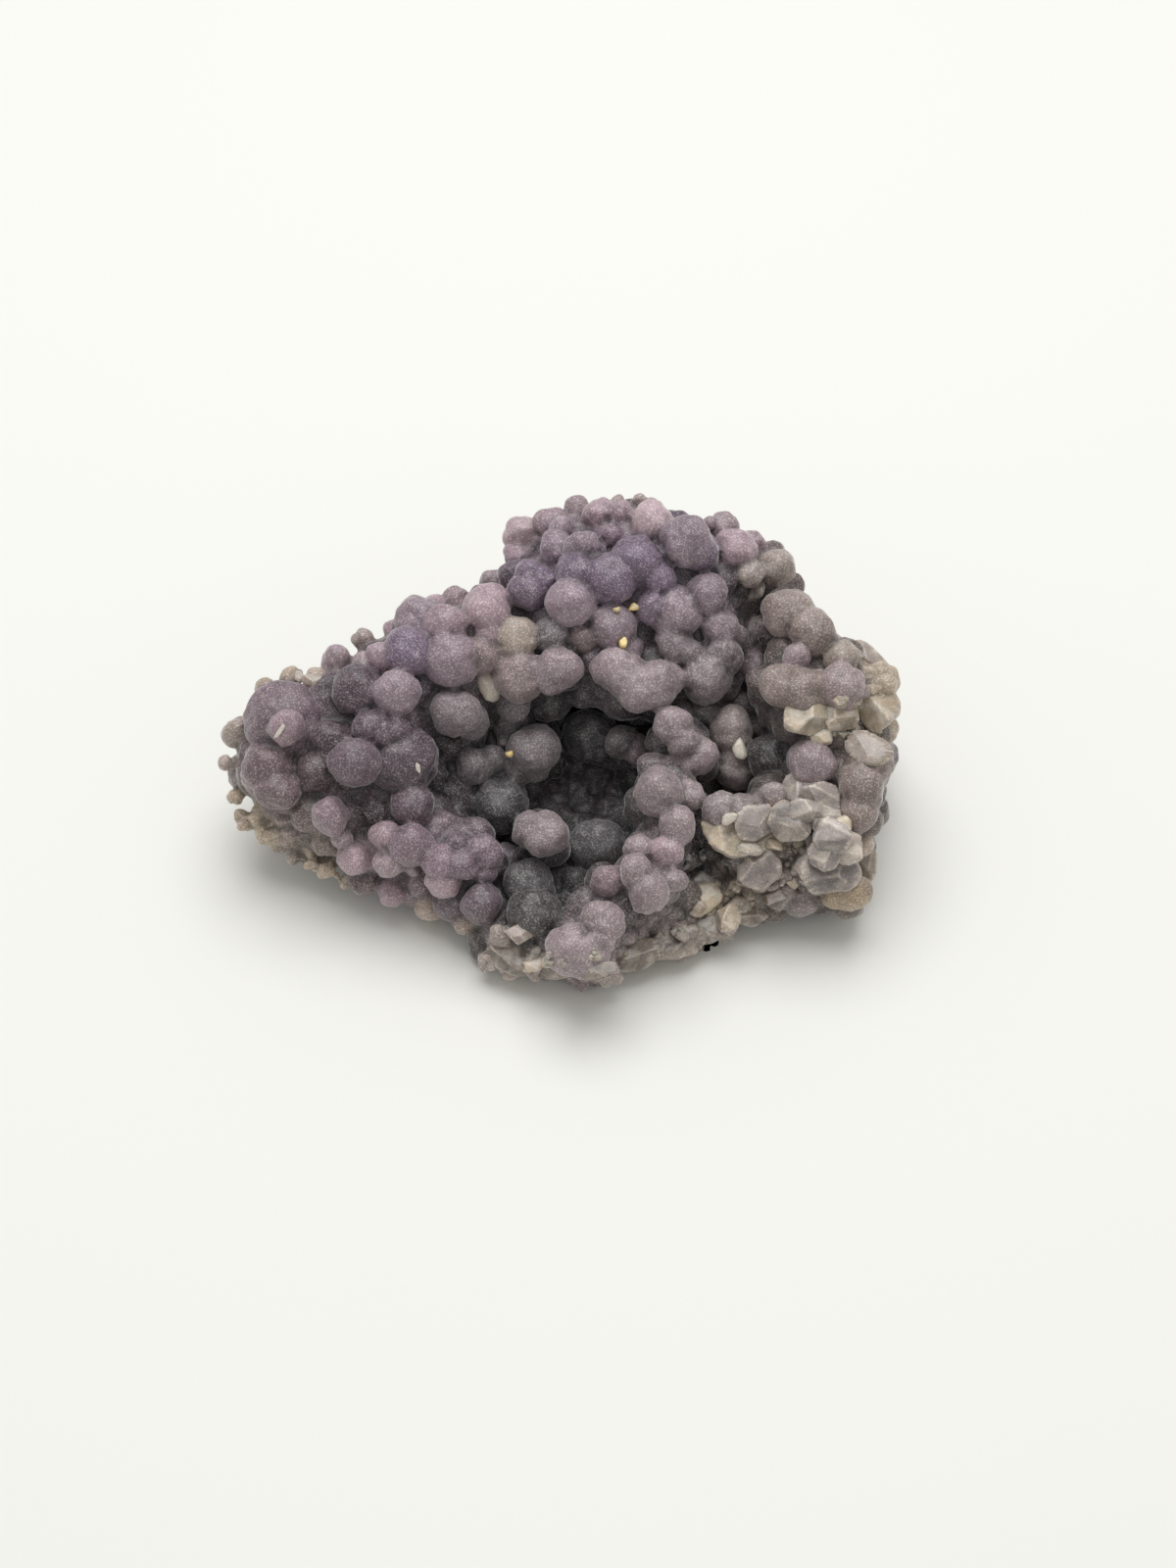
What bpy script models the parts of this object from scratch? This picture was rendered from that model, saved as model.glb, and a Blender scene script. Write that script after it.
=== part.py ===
"""Grape agate, a botryoidal chalcedony cluster grown on its matrix, as one solid.

Lengths are metres and +Z is up. The origin is the middle of the footprint on the table.
Places on the crust are read off a drawing sheet of the piece seen from the front and above,
x to the right and y down, in whole sheet units.
"""

import math
import random

import bmesh
import bpy
from mathutils import Vector
from mathutils.bvhtree import BVHTree

MM = 0.001
SHEET_UNIT = 0.0857 * MM
SHEET_MIDDLE = (600, 800)
SHEET_TILT = math.radians(50)
EYE_DISTANCE = 240 * MM
SHEET_SPOT = Vector((2.5, -4.2, 6.0)) * MM

BODY_VOXEL = 0.7 * MM
SKIN_VOXEL = 0.36 * MM
BODY_SMOOTHING = 4
SKIN_SMOOTHING = 2
BODY_DROP = 0.9 * MM
TARGET_TRIANGLES = 9300
COLUMN_WAIST = 0.05
SIGHT_REACH = 40 * MM
SIGHT_STEPS = 160
CUT_DEPTH = 10 * MM
CUT_SPAN = 120 * MM

BACK_GRAPES = 170
BACK_GRAPE_SIZE = (1.3 * MM, 2.5 * MM)
BACK_SPACING = 2.5 * MM
BACK_RISE = 0.15
BACK_FLOOR = 2.5 * MM
BACK_LOWEST_SLOPE = -0.45
BACK_FACING = 0.12
BACK_SEED = 7

STONE_COLOUR = (0.20, 0.15, 0.19, 1.0)
STONE_ROUGHNESS = 0.55

# Swellings of the matrix and crust: sheet x, sheet y, height of the surface, height of the
# underside and radius, the last three in millimetres.
SWELLINGS = [
    # the tongue on the left
    (268, 778, 12.5, 6.5, 2.6),
    (266, 747, 13.0, 8.0, 1.8),
    (298, 738, 15.0, 7.0, 3.4),
    (300, 800, 12.0, 5.0, 3.6),
    (298, 842, 8.5, 4.0, 2.4),
    (345, 715, 16.0, 7.0, 2.8),
    (350, 770, 14.5, 5.0, 3.6),
    (350, 830, 10.5, 3.5, 3.4),
    (375, 870, 7.5, 2.2, 2.6),
    (395, 690, 17.0, 6.0, 3.4),
    (400, 745, 15.0, 4.0, 3.6),
    (400, 810, 11.0, 2.5, 3.8),
    (410, 860, 9.0, 2.0, 3.4),
    (425, 900, 5.5, 1.5, 2.4),
    (432, 670, 17.5, 4.0, 3.4),
    (462, 655, 18.0, 3.0, 3.3),
    (455, 700, 16.0, 2.0, 3.8),
    (460, 760, 10.5, 1.0, 3.6),
    (455, 820, 8.0, 1.0, 3.6),
    (465, 872, 9.0, 1.0, 3.4),
    (480, 912, 6.5, 0.5, 2.8),
    # the peak at the back
    (506, 640, 18.5, 3.0, 3.2),
    (510, 680, 16.5, 2.0, 3.6),
    (550, 596, 20.0, 4.0, 2.9),
    (556, 566, 20.0, 5.0, 2.4),
    (560, 630, 19.0, 2.0, 3.8),
    (592, 560, 21.0, 4.0, 3.6),
    (600, 600, 21.0, 2.0, 4.0),
    (640, 565, 22.0, 3.0, 4.2),
    (645, 610, 20.5, 1.0, 4.0),
    (690, 572, 22.0, 3.0, 3.8),
    (700, 615, 19.5, 1.0, 4.0),
    (742, 584, 20.0, 3.0, 3.0),
    (728, 624, 18.5, 1.0, 3.0),
    (780, 592, 18.5, 3.0, 2.8),
    (600, 650, 18.0, 9.0, 3.6),
    (650, 655, 17.0, 9.0, 3.6),
    (560, 675, 16.5, 9.5, 3.2),
    (622, 690, 15.5, 10.5, 2.6),
    (660, 700, 15.0, 10.0, 2.6),
    (705, 665, 16.5, 0.0, 3.8),
    (735, 668, 15.5, 0.0, 2.8),
    (715, 710, 12.5, 0.0, 3.2),
    # the hollow
    (540, 765, 9.0, 0.0, 2.6),
    (495, 785, 8.0, 0.0, 2.2),
    (510, 832, 5.0, 0.0, 3.2),
    (560, 800, 2.8, 0.0, 2.6),
    (603, 758, 6.5, 0.0, 2.6),
    (600, 820, 2.6, 0.0, 2.8),
    (645, 765, 8.0, 0.0, 2.4),
    (640, 822, 3.4, 0.0, 2.6),
    (555, 852, 8.5, 0.0, 2.2),
    (608, 865, 4.0, 0.0, 2.8),
    (545, 905, 4.8, 0.0, 3.2),
    (745, 755, 9.5, 0.0, 2.8),
    (790, 772, 4.5, 0.0, 2.8),
    (755, 800, 6.0, 0.0, 2.4),
    # the ridge in front of the hollow
    (695, 755, 13.0, 0.0, 2.4),
    (680, 805, 12.5, 0.0, 2.8),
    (680, 850, 11.5, 0.0, 2.2),
    (662, 895, 10.5, 0.0, 3.0),
    (625, 915, 8.0, 0.0, 2.4),
    (600, 955, 8.0, 0.0, 3.0),
    # the rim on the right
    (806, 630, 19.0, 3.0, 2.2),
    (824, 660, 18.5, 2.0, 2.6),
    (812, 700, 17.5, 1.0, 3.4),
    (846, 684, 18.0, 3.0, 2.6),
    (855, 705, 17.5, 2.0, 3.6),
    (882, 712, 16.0, 4.0, 2.6),
    (868, 748, 15.0, 3.0, 2.9),
    (835, 750, 14.5, 0.0, 3.2),
    (830, 795, 12.0, 0.0, 3.2),
    (866, 792, 13.5, 3.0, 2.8),
    (860, 832, 11.5, 2.5, 2.6),
    (738, 845, 10.5, 0.0, 2.2),
    (780, 840, 11.5, 0.0, 3.2),
    (820, 835, 11.5, 0.0, 3.0),
    (775, 885, 8.5, 0.0, 2.8),
    (842, 868, 10.0, 1.0, 3.0),
    (856, 896, 7.0, 2.0, 2.0),
    (812, 888, 7.0, 1.5, 2.6),
    (740, 895, 5.5, 0.0, 3.2),
    (720, 928, 4.5, 0.0, 3.0),
    (764, 908, 5.0, 1.0, 2.2),
    # the lip at the front
    (520, 955, 5.5, 0.0, 2.8),
    (560, 960, 6.0, 0.0, 3.0),
    (528, 974, 3.2, 0.0, 1.6),
    (600, 974, 4.5, 0.0, 2.0),
    (638, 946, 6.0, 0.0, 2.8),
    (630, 974, 3.5, 0.0, 1.8),
    (685, 940, 5.5, 0.0, 2.4),
]

# Swellings behind the peak: x, y, height of the top, height of the underside and radius,
# all in millimetres.
BACK_SWELLINGS = [
    (-4.2, 10.4, 15.0, 1.0, 3.6),
    (0.3, 13.4, 17.5, 0.0, 4.0),
    (5.8, 14.9, 18.5, 0.0, 4.0),
    (11.8, 13.9, 17.5, 0.0, 3.8),
    (16.8, 11.4, 15.5, 1.0, 3.8),
    (20.8, 5.9, 14.0, 2.0, 3.4),
    (1.8, 17.4, 10.5, 0.0, 4.0),
    (8.8, 18.4, 10.0, 0.0, 4.0),
    (14.8, 16.4, 9.0, 0.0, 3.8),
    (-3.7, 13.9, 8.5, 1.0, 3.6),
    (-10.2, 6.4, 11.5, 2.0, 3.6),
    (-16.7, 0.9, 11.0, 3.5, 3.2),
    (-22.2, -4.1, 10.5, 5.0, 2.6),
    (20.8, 11.4, 8.0, 1.0, 3.6),
    (25.3, 3.4, 9.5, 3.0, 3.2),
]

# Broad masses of matrix inside and under the crust: x, y and z of the middle and the three
# half widths, all in millimetres.
MASSES = [
    (4.8, -2.6, 0.0, 20.0, 15.0, 2.2),
    (7.8, 10.4, 3.0, 13.0, 8.0, 9.0),
    (-8.2, 3.4, 2.0, 12.0, 9.0, 5.0),
    (21.8, -2.1, 4.0, 6.0, 8.5, 6.0),
    (1.8, -14.1, 0.0, 10.0, 6.0, 3.2),
]

# Grapes on the side that the sheet shows: sheet x, sheet y, radius in sheet units, and how
# far the middle stands out of the surface, as a share of the radius.
GRAPES = [
    # the tongue on the left
    (231, 778, 9, 0.2),
    (248, 712, 8, 0.1),
    (243, 722, 7, 0.1),
    (243, 748, 17, 0.1),
    (270, 704, 12, 0.1),
    (297, 692, 12, 0.1),
    (322, 692, 10, 0.1),
    (290, 737, 42, -0.65),
    (292, 743, 20, 0.6),
    (344, 673, 17, 0.1),
    (370, 676, 11, 0.2),
    (364, 655, 7, 0.2),
    (373, 650, 8, 0.2),
    (390, 668, 13, 0.2),
    (405, 707, 24, 0.5),
    (405, 745, 14, 0.1),
    (378, 740, 16, 0.5),
    (390, 748, 14, 0.4),
    (362, 778, 24, 0.3),
    (365, 705, 26, 0.0),
    (275, 785, 30, -0.35),
    (283, 806, 21, 0.1),
    (240, 815, 10, 0.1),
    (250, 838, 12, 0.1),
    (262, 833, 12, 0.1),
    (230, 826, 5, 0.1),
    (272, 850, 12, 0.1),
    (297, 873, 6, 0.1),
    (304, 884, 5, 0.1),
    (333, 886, 11, 0.1),
    (352, 899, 9, 0.1),
    (336, 832, 20, 0.4),
    (350, 855, 12, 0.5),
    (360, 876, 18, 0.2),
    (392, 853, 16, 0.2),
    (421, 821, 20, 0.5),
    (420, 862, 22, 0.4),
    (397, 880, 16, 0.4),
    (420, 885, 9, 0.4),
    (400, 909, 16, 0.1),
    (450, 880, 18, 0.4),
    (468, 862, 13, 0.1),
    (453, 898, 18, 0.3),
    (472, 882, 17, 0.4),
    (492, 872, 20, 0.3),
    (492, 886, 14, 0.4),
    (515, 880, 20, 0.1),
    (492, 922, 21, 0.3),
    (503, 914, 8, 0.9),
    (475, 945, 11, 0.1),
    (440, 925, 14, 0.0),
    (410, 775, 35, -0.2),
    # the ridge behind the tongue
    (402, 642, 12, 0.1),
    (428, 632, 24, 0.0),
    (443, 620, 13, 0.1),
    (465, 612, 14, 0.0),
    (498, 622, 24, 0.1),
    (505, 594, 15, 0.1),
    (455, 640, 22, 0.1),
    (418, 665, 24, 0.2),
    (459, 672, 28, 0.1),
    (498, 645, 14, 0.4),
    (527, 650, 19, 0.6),
    (490, 668, 20, 0.2),
    (530, 690, 26, 0.1),
    (525, 720, 17, 0.1),
    (465, 727, 24, 0.2),
    (480, 735, 18, 0.2),
    # the peak
    (532, 545, 19, 0.0),
    (528, 567, 16, 0.1),
    (563, 533, 17, 0.0),
    (590, 520, 12, 0.0),
    (613, 525, 17, 0.0),
    (632, 524, 13, 0.0),
    (631, 510, 7, 0.0),
    (652, 509, 8, 0.0),
    (664, 514, 8, 0.0),
    (665, 534, 21, 0.2),
    (568, 560, 18, 0.4),
    (572, 540, 13, 0.3),
    (595, 560, 19, 0.4),
    (608, 562, 10, 0.2),
    (622, 545, 12, -0.1),
    (590, 585, 22, 0.0),
    (622, 590, 28, 0.0),
    (650, 575, 28, 0.0),
    (672, 590, 18, 0.3),
    (700, 553, 26, 0.1),
    (714, 562, 20, 0.1),
    (538, 605, 19, 0.5),
    (540, 588, 17, 0.2),
    (553, 592, 14, 0.3),
    (583, 614, 24, 0.5),
    (740, 537, 15, 0.1),
    (722, 534, 7, 0.1),
    (750, 560, 20, 0.1),
    (768, 555, 14, 0.0),
    # between the peak and the hollow
    (563, 648, 18, 0.1),
    (595, 650, 14, 0.0),
    (625, 640, 24, 0.0),
    (640, 660, 14, 0.2),
    (665, 620, 16, 0.1),
    (690, 625, 25, 0.0),
    (722, 606, 20, 0.3),
    (735, 641, 20, 0.3),
    (748, 650, 13, 0.3),
    (688, 655, 19, 0.4),
    (703, 665, 16, 0.3),
    (735, 670, 22, 0.2),
    (720, 690, 26, 0.2),
    (770, 680, 18, 0.3),
    (795, 578, 17, 0.3),
    (757, 582, 15, 0.4),
    (768, 605, 9, 0.4),
    (805, 625, 25, 0.1),
    (825, 640, 20, 0.2),
    (812, 670, 14, 0.2),
    (548, 685, 17, 0.7),
    (572, 681, 21, 0.7),
    (628, 683, 22, 0.6),
    (655, 700, 27, 0.5),
    (680, 695, 19, 0.7),
    # the hollow
    (545, 765, 25, 0.3),
    (530, 785, 17, 0.4),
    (513, 757, 6, 0.9),
    (484, 782, 18, 0.4),
    (500, 775, 16, 0.4),
    (603, 752, 28, 0.1),
    (635, 757, 18, 0.5),
    (648, 763, 15, 0.4),
    (510, 822, 28, 0.1),
    (541, 848, 18, 0.4),
    (556, 852, 23, 0.4),
    (610, 865, 28, 0.2),
    (645, 835, 20, 0.1),
    (757, 720, 17, 0.3),
    (720, 728, 14, 0.1),
    (745, 745, 24, 0.2),
    (752, 780, 26, 0.1),
    (790, 772, 25, 0.0),
    (540, 905, 26, 0.1),
    # the ridge in front of the hollow
    (688, 742, 20, 0.6),
    (712, 770, 20, 0.4),
    (672, 808, 26, 0.4),
    (704, 812, 14, 0.2),
    (692, 842, 20, 0.3),
    (680, 870, 18, 0.0),
    (652, 866, 14, 0.5),
    (648, 890, 17, 0.5),
    (662, 912, 21, 0.4),
    (688, 898, 14, 0.5),
    (620, 900, 17, 0.2),
    (615, 940, 20, 0.4),
    (584, 970, 26, 0.2),
    (605, 972, 21, 0.4),
    # the rim on the right
    (806, 702, 27, 0.1),
    (862, 700, 25, 0.1),
    (895, 698, 24, -0.1),
    (903, 745, 14, 0.0),
    (828, 780, 23, 0.3),
    (880, 790, 28, -0.1),
    (885, 828, 22, 0.0),
    (822, 728, 17, 0.3),
    (833, 750, 12, 0.5),
    (855, 730, 13, 0.4),
    (735, 826, 20, 0.2),
    (773, 833, 18, 0.3),
    (805, 840, 20, 0.3),
    (822, 806, 20, 0.3),
    (740, 850, 20, 0.3),
    (775, 859, 13, 0.3),
    (772, 884, 20, 0.3),
    (850, 862, 25, 0.1),
    (858, 893, 22, 0.1),
    (880, 868, 12, 0.1),
    (868, 915, 16, 0.1),
    (820, 924, 16, -0.1),
    (715, 905, 15, 0.3),
    # the lip at the front
    (510, 955, 12, 0.4),
    (500, 978, 13, 0.0),
    (520, 988, 13, 0.0),
    (545, 988, 14, 0.0),
    (545, 935, 28, 0.0),
    (677, 962, 14, 0.1),
    (620, 992, 16, -0.1),
    (740, 945, 16, -0.1),
]


def clear_scene():
    """Remove every object that a new file starts with."""
    for thing in list(bpy.data.objects):
        bpy.data.objects.remove(thing, do_unlink=True)


def make_collection(name):
    """Make a collection in the scene."""
    collection = bpy.data.collections.new(name)
    bpy.context.scene.collection.children.link(collection)
    return collection


def sheet_axes():
    """Return the sheet's upward direction and the direction from the sheet to the eye."""
    upward = Vector((0.0, math.sin(SHEET_TILT), math.cos(SHEET_TILT)))
    outward = Vector((0.0, -math.cos(SHEET_TILT), math.sin(SHEET_TILT)))
    return upward, outward


def sight_line(sheet_x, sheet_y):
    """Return the eye and the direction in which it sees a place on the sheet."""
    upward, outward = sheet_axes()
    eye = SHEET_SPOT + outward * EYE_DISTANCE
    spot = SHEET_SPOT + upward * ((SHEET_MIDDLE[1] - sheet_y) * SHEET_UNIT)
    spot.x += (sheet_x - SHEET_MIDDLE[0]) * SHEET_UNIT
    return eye, (spot - eye).normalized()


def add_ball(shell, middle, radius, detail):
    """Add a faceted ball to a bmesh and return its vertices."""
    made = bmesh.ops.create_icosphere(shell, subdivisions=detail, radius=radius)
    bmesh.ops.translate(shell, vec=middle, verts=made["verts"])
    return made["verts"]


def add_column(shell, middle, radius, underside):
    """Add a ball whose lower half is drawn straight down to the underside."""
    vertices = add_ball(shell, middle, radius, 3)
    drop = max(middle.z - radius - underside, 0.0)
    for vertex in vertices:
        if vertex.co.z < middle.z - COLUMN_WAIST * radius:
            vertex.co.z -= drop


def body_mesh():
    """Join the swellings of the matrix and return them as one smoothed mesh."""
    shell = bmesh.new()
    for sheet_x, sheet_y, height, underside, radius in SWELLINGS:
        eye, sight = sight_line(sheet_x, sheet_y)
        surface = eye + sight * ((height * MM - eye.z) / sight.z)
        middle = surface + sight * (radius * MM + BODY_DROP)
        add_column(shell, middle, radius * MM, underside * MM - BODY_DROP)
    for x, y, height, underside, radius in BACK_SWELLINGS:
        middle = Vector((x, y, height - radius)) * MM
        add_column(shell, middle, radius * MM, underside * MM - BODY_DROP)
    for x, y, z, wide, deep, high in MASSES:
        vertices = add_ball(shell, Vector((0.0, 0.0, 0.0)), 1.0, 4)
        bmesh.ops.scale(shell, vec=Vector((wide, deep, high)) * MM, verts=vertices)
        bmesh.ops.translate(shell, vec=Vector((x, y, z)) * MM, verts=vertices)
    mesh = bpy.data.meshes.new("matrix_swellings")
    shell.to_mesh(mesh)
    shell.free()
    return remeshed(mesh, BODY_VOXEL, BODY_SMOOTHING)


def remeshed(mesh, voxel, smoothing, triangles=0):
    """Return a mesh wrapped in one even skin, smoothed, and thinned if triangles is given."""
    carrier = bpy.data.objects.new(mesh.name, mesh)
    bpy.context.scene.collection.objects.link(carrier)
    wrap = carrier.modifiers.new("wrap", "REMESH")
    wrap.mode = "VOXEL"
    wrap.voxel_size = voxel
    relax = carrier.modifiers.new("relax", "SMOOTH")
    relax.iterations = smoothing
    made = applied(carrier)
    keep_largest_shell(made)
    if triangles:
        carrier.modifiers.clear()
        carrier.data = made
        thin = carrier.modifiers.new("thin", "DECIMATE")
        thin.ratio = triangles / (2 * len(made.polygons))
        made = applied(carrier)
    bpy.data.objects.remove(carrier, do_unlink=True)
    return made


def applied(carrier):
    """Return an object's mesh with its modifiers applied."""
    graph = bpy.context.evaluated_depsgraph_get()
    return bpy.data.meshes.new_from_object(carrier.evaluated_get(graph))


def keep_largest_shell(mesh):
    """Drop every separate shell of a mesh but the one with the most vertices."""
    shell = bmesh.new()
    shell.from_mesh(mesh)
    left = set(shell.verts)
    groups = []
    while left:
        start = left.pop()
        group = [start]
        reach = [start]
        while reach:
            vertex = reach.pop()
            for edge in vertex.link_edges:
                other = edge.other_vert(vertex)
                if other in left:
                    left.remove(other)
                    group.append(other)
                    reach.append(other)
        groups.append(group)
    groups.sort(key=len)
    for group in groups[:-1]:
        bmesh.ops.delete(shell, geom=group, context="VERTS")
    shell.to_mesh(mesh)
    shell.free()


def nearest_on_line(tree, eye, sight):
    """Return the point of a sight line that passes nearest to the body."""
    best = None
    for step in range(SIGHT_STEPS):
        along = EYE_DISTANCE + SIGHT_REACH * (2 * step / SIGHT_STEPS - 1)
        point = eye + sight * along
        distance = tree.find_nearest(point)[3]
        if best is None or distance < best[0]:
            best = (distance, point)
    return best[1]


def grape_places(tree):
    """Return the middle and radius of each grape that the sheet shows."""
    places = []
    for sheet_x, sheet_y, radius, rise in GRAPES:
        eye, sight = sight_line(sheet_x, sheet_y)
        hit = tree.ray_cast(eye, sight)[0]
        middle = hit if hit is not None else nearest_on_line(tree, eye, sight)
        size = radius * SHEET_UNIT * (middle - eye).length / EYE_DISTANCE
        if hit is not None:
            middle = middle - sight * (size * rise)
        places.append((middle, size))
    return places


def hidden_ball(tree, middle, size):
    """Tell whether the body hides a ball from the eye, its edges too."""
    upward, outward = sheet_axes()
    eye = SHEET_SPOT + outward * EYE_DISTANCE
    right = Vector((1.0, 0.0, 0.0))
    for edge in (upward, right, -right, -upward):
        start = middle + edge * size
        if tree.ray_cast(start, (eye - start).normalized())[0] is None:
            return False
    return True


def back_grape_places(mesh, tree, taken):
    """Scatter grapes over the sides of the body that the sheet doesn't show."""
    outward = sheet_axes()[1]
    draw = random.Random(BACK_SEED)
    hidden = []
    for face in mesh.polygons:
        above = face.center.z > BACK_FLOOR and face.normal.z > BACK_LOWEST_SLOPE
        if face.normal.dot(outward) < BACK_FACING and above:
            hidden.append(face)
    draw.shuffle(hidden)
    places = []
    middles = [middle for middle, size in taken]
    for face in hidden:
        size = draw.uniform(*BACK_GRAPE_SIZE)
        middle = face.center + face.normal * (BACK_RISE * size)
        free = all((other - middle).length >= BACK_SPACING for other in middles)
        if free and hidden_ball(tree, middle, size):
            places.append((middle, size))
            middles.append(middle)
        if len(places) == BACK_GRAPES:
            break
    return places


def crust_mesh(body, places):
    """Fuse the grapes with the body and return one skin."""
    shell = bmesh.new()
    shell.from_mesh(body)
    for middle, size in places:
        add_ball(shell, middle, size, 3)
    mesh = bpy.data.meshes.new("grape_agate")
    shell.to_mesh(mesh)
    shell.free()
    return remeshed(mesh, SKIN_VOXEL, SKIN_SMOOTHING, TARGET_TRIANGLES)


def stone_material():
    """Make the material of the purple chalcedony."""
    material = bpy.data.materials.new("purple_chalcedony")
    material.use_nodes = True
    surface = material.node_tree.nodes["Principled BSDF"]
    surface.inputs["Base Color"].default_value = STONE_COLOUR
    surface.inputs["Roughness"].default_value = STONE_ROUGHNESS
    return material


def table_cutter(collection):
    """Make the block that cuts the underside flat."""
    mesh = bpy.data.meshes.new("table_cutter")
    shell = bmesh.new()
    bmesh.ops.create_cube(shell, size=1.0)
    bmesh.ops.scale(shell, vec=(CUT_SPAN, CUT_SPAN, CUT_DEPTH), verts=shell.verts)
    bmesh.ops.translate(shell, vec=(0.0, 0.0, -CUT_DEPTH / 2), verts=shell.verts)
    shell.to_mesh(mesh)
    shell.free()
    cutter = bpy.data.objects.new("table_cutter", mesh)
    cutter.hide_render = True
    cutter.display_type = "WIRE"
    collection.objects.link(cutter)
    return cutter


def build():
    """Build the cluster."""
    clear_scene()
    part_collection = make_collection("grape_agate")
    cutter_collection = make_collection("cutters")
    body = body_mesh()
    shell = bmesh.new()
    shell.from_mesh(body)
    tree = BVHTree.FromBMesh(shell)
    shell.free()
    places = grape_places(tree)
    places += back_grape_places(body, tree, places)
    crust = crust_mesh(body, places)
    crust.name = "grape_agate"
    crust.materials.append(stone_material())
    cluster = bpy.data.objects.new("grape_agate", crust)
    part_collection.objects.link(cluster)
    cut = cluster.modifiers.new("flat_underside", "BOOLEAN")
    cut.operation = "DIFFERENCE"
    cut.solver = "EXACT"
    cut.object = table_cutter(cutter_collection)


build()
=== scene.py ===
import math
import random

import bmesh
import bpy
import numpy as np
from mathutils import Matrix, Vector, noise
from mathutils.bvhtree import BVHTree


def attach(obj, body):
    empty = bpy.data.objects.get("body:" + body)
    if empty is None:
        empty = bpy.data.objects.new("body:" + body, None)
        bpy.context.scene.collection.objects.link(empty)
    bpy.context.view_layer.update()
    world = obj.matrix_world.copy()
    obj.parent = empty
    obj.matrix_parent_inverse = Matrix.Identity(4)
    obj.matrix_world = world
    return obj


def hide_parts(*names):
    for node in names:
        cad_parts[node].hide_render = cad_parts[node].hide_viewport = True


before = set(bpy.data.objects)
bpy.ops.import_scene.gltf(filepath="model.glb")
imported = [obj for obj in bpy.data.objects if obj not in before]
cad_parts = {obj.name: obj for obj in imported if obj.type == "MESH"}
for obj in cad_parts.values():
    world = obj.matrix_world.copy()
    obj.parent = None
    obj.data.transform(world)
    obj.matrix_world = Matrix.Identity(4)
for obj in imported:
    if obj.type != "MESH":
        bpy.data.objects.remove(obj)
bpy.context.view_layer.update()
print("loaded the frame")

mm = 0.001

# The drawing sheet that places are read from: the piece seen from the front and above,
# x to the right and y down, in whole sheet units.
sheet = {
    "unit": 0.0857 * mm,
    "width": 1200,
    "height": 1600,
    "tilt": math.radians(50),
    "eyeDistance": 240 * mm,
    "spot": Vector((2.5, -4.2, 6.0)) * mm,  # what the middle of the sheet shows
    "searchSteps": 160,
    "searchReach": 40,  # how far before and behind the spot a sight line is searched, in mm
}
rightward = Vector((1.0, 0.0, 0.0))
upward = Vector((0.0, math.sin(sheet["tilt"]), math.cos(sheet["tilt"])))
outward = Vector((0.0, -math.cos(sheet["tilt"]), math.sin(sheet["tilt"])))
eye = sheet["spot"] + outward * sheet["eyeDistance"]


def sightLine(x, y):
    spot = sheet["spot"] + upward * ((sheet["height"] / 2 - y) * sheet["unit"])
    spot.x += (x - sheet["width"] / 2) * sheet["unit"]
    return (spot - eye).normalized()


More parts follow.
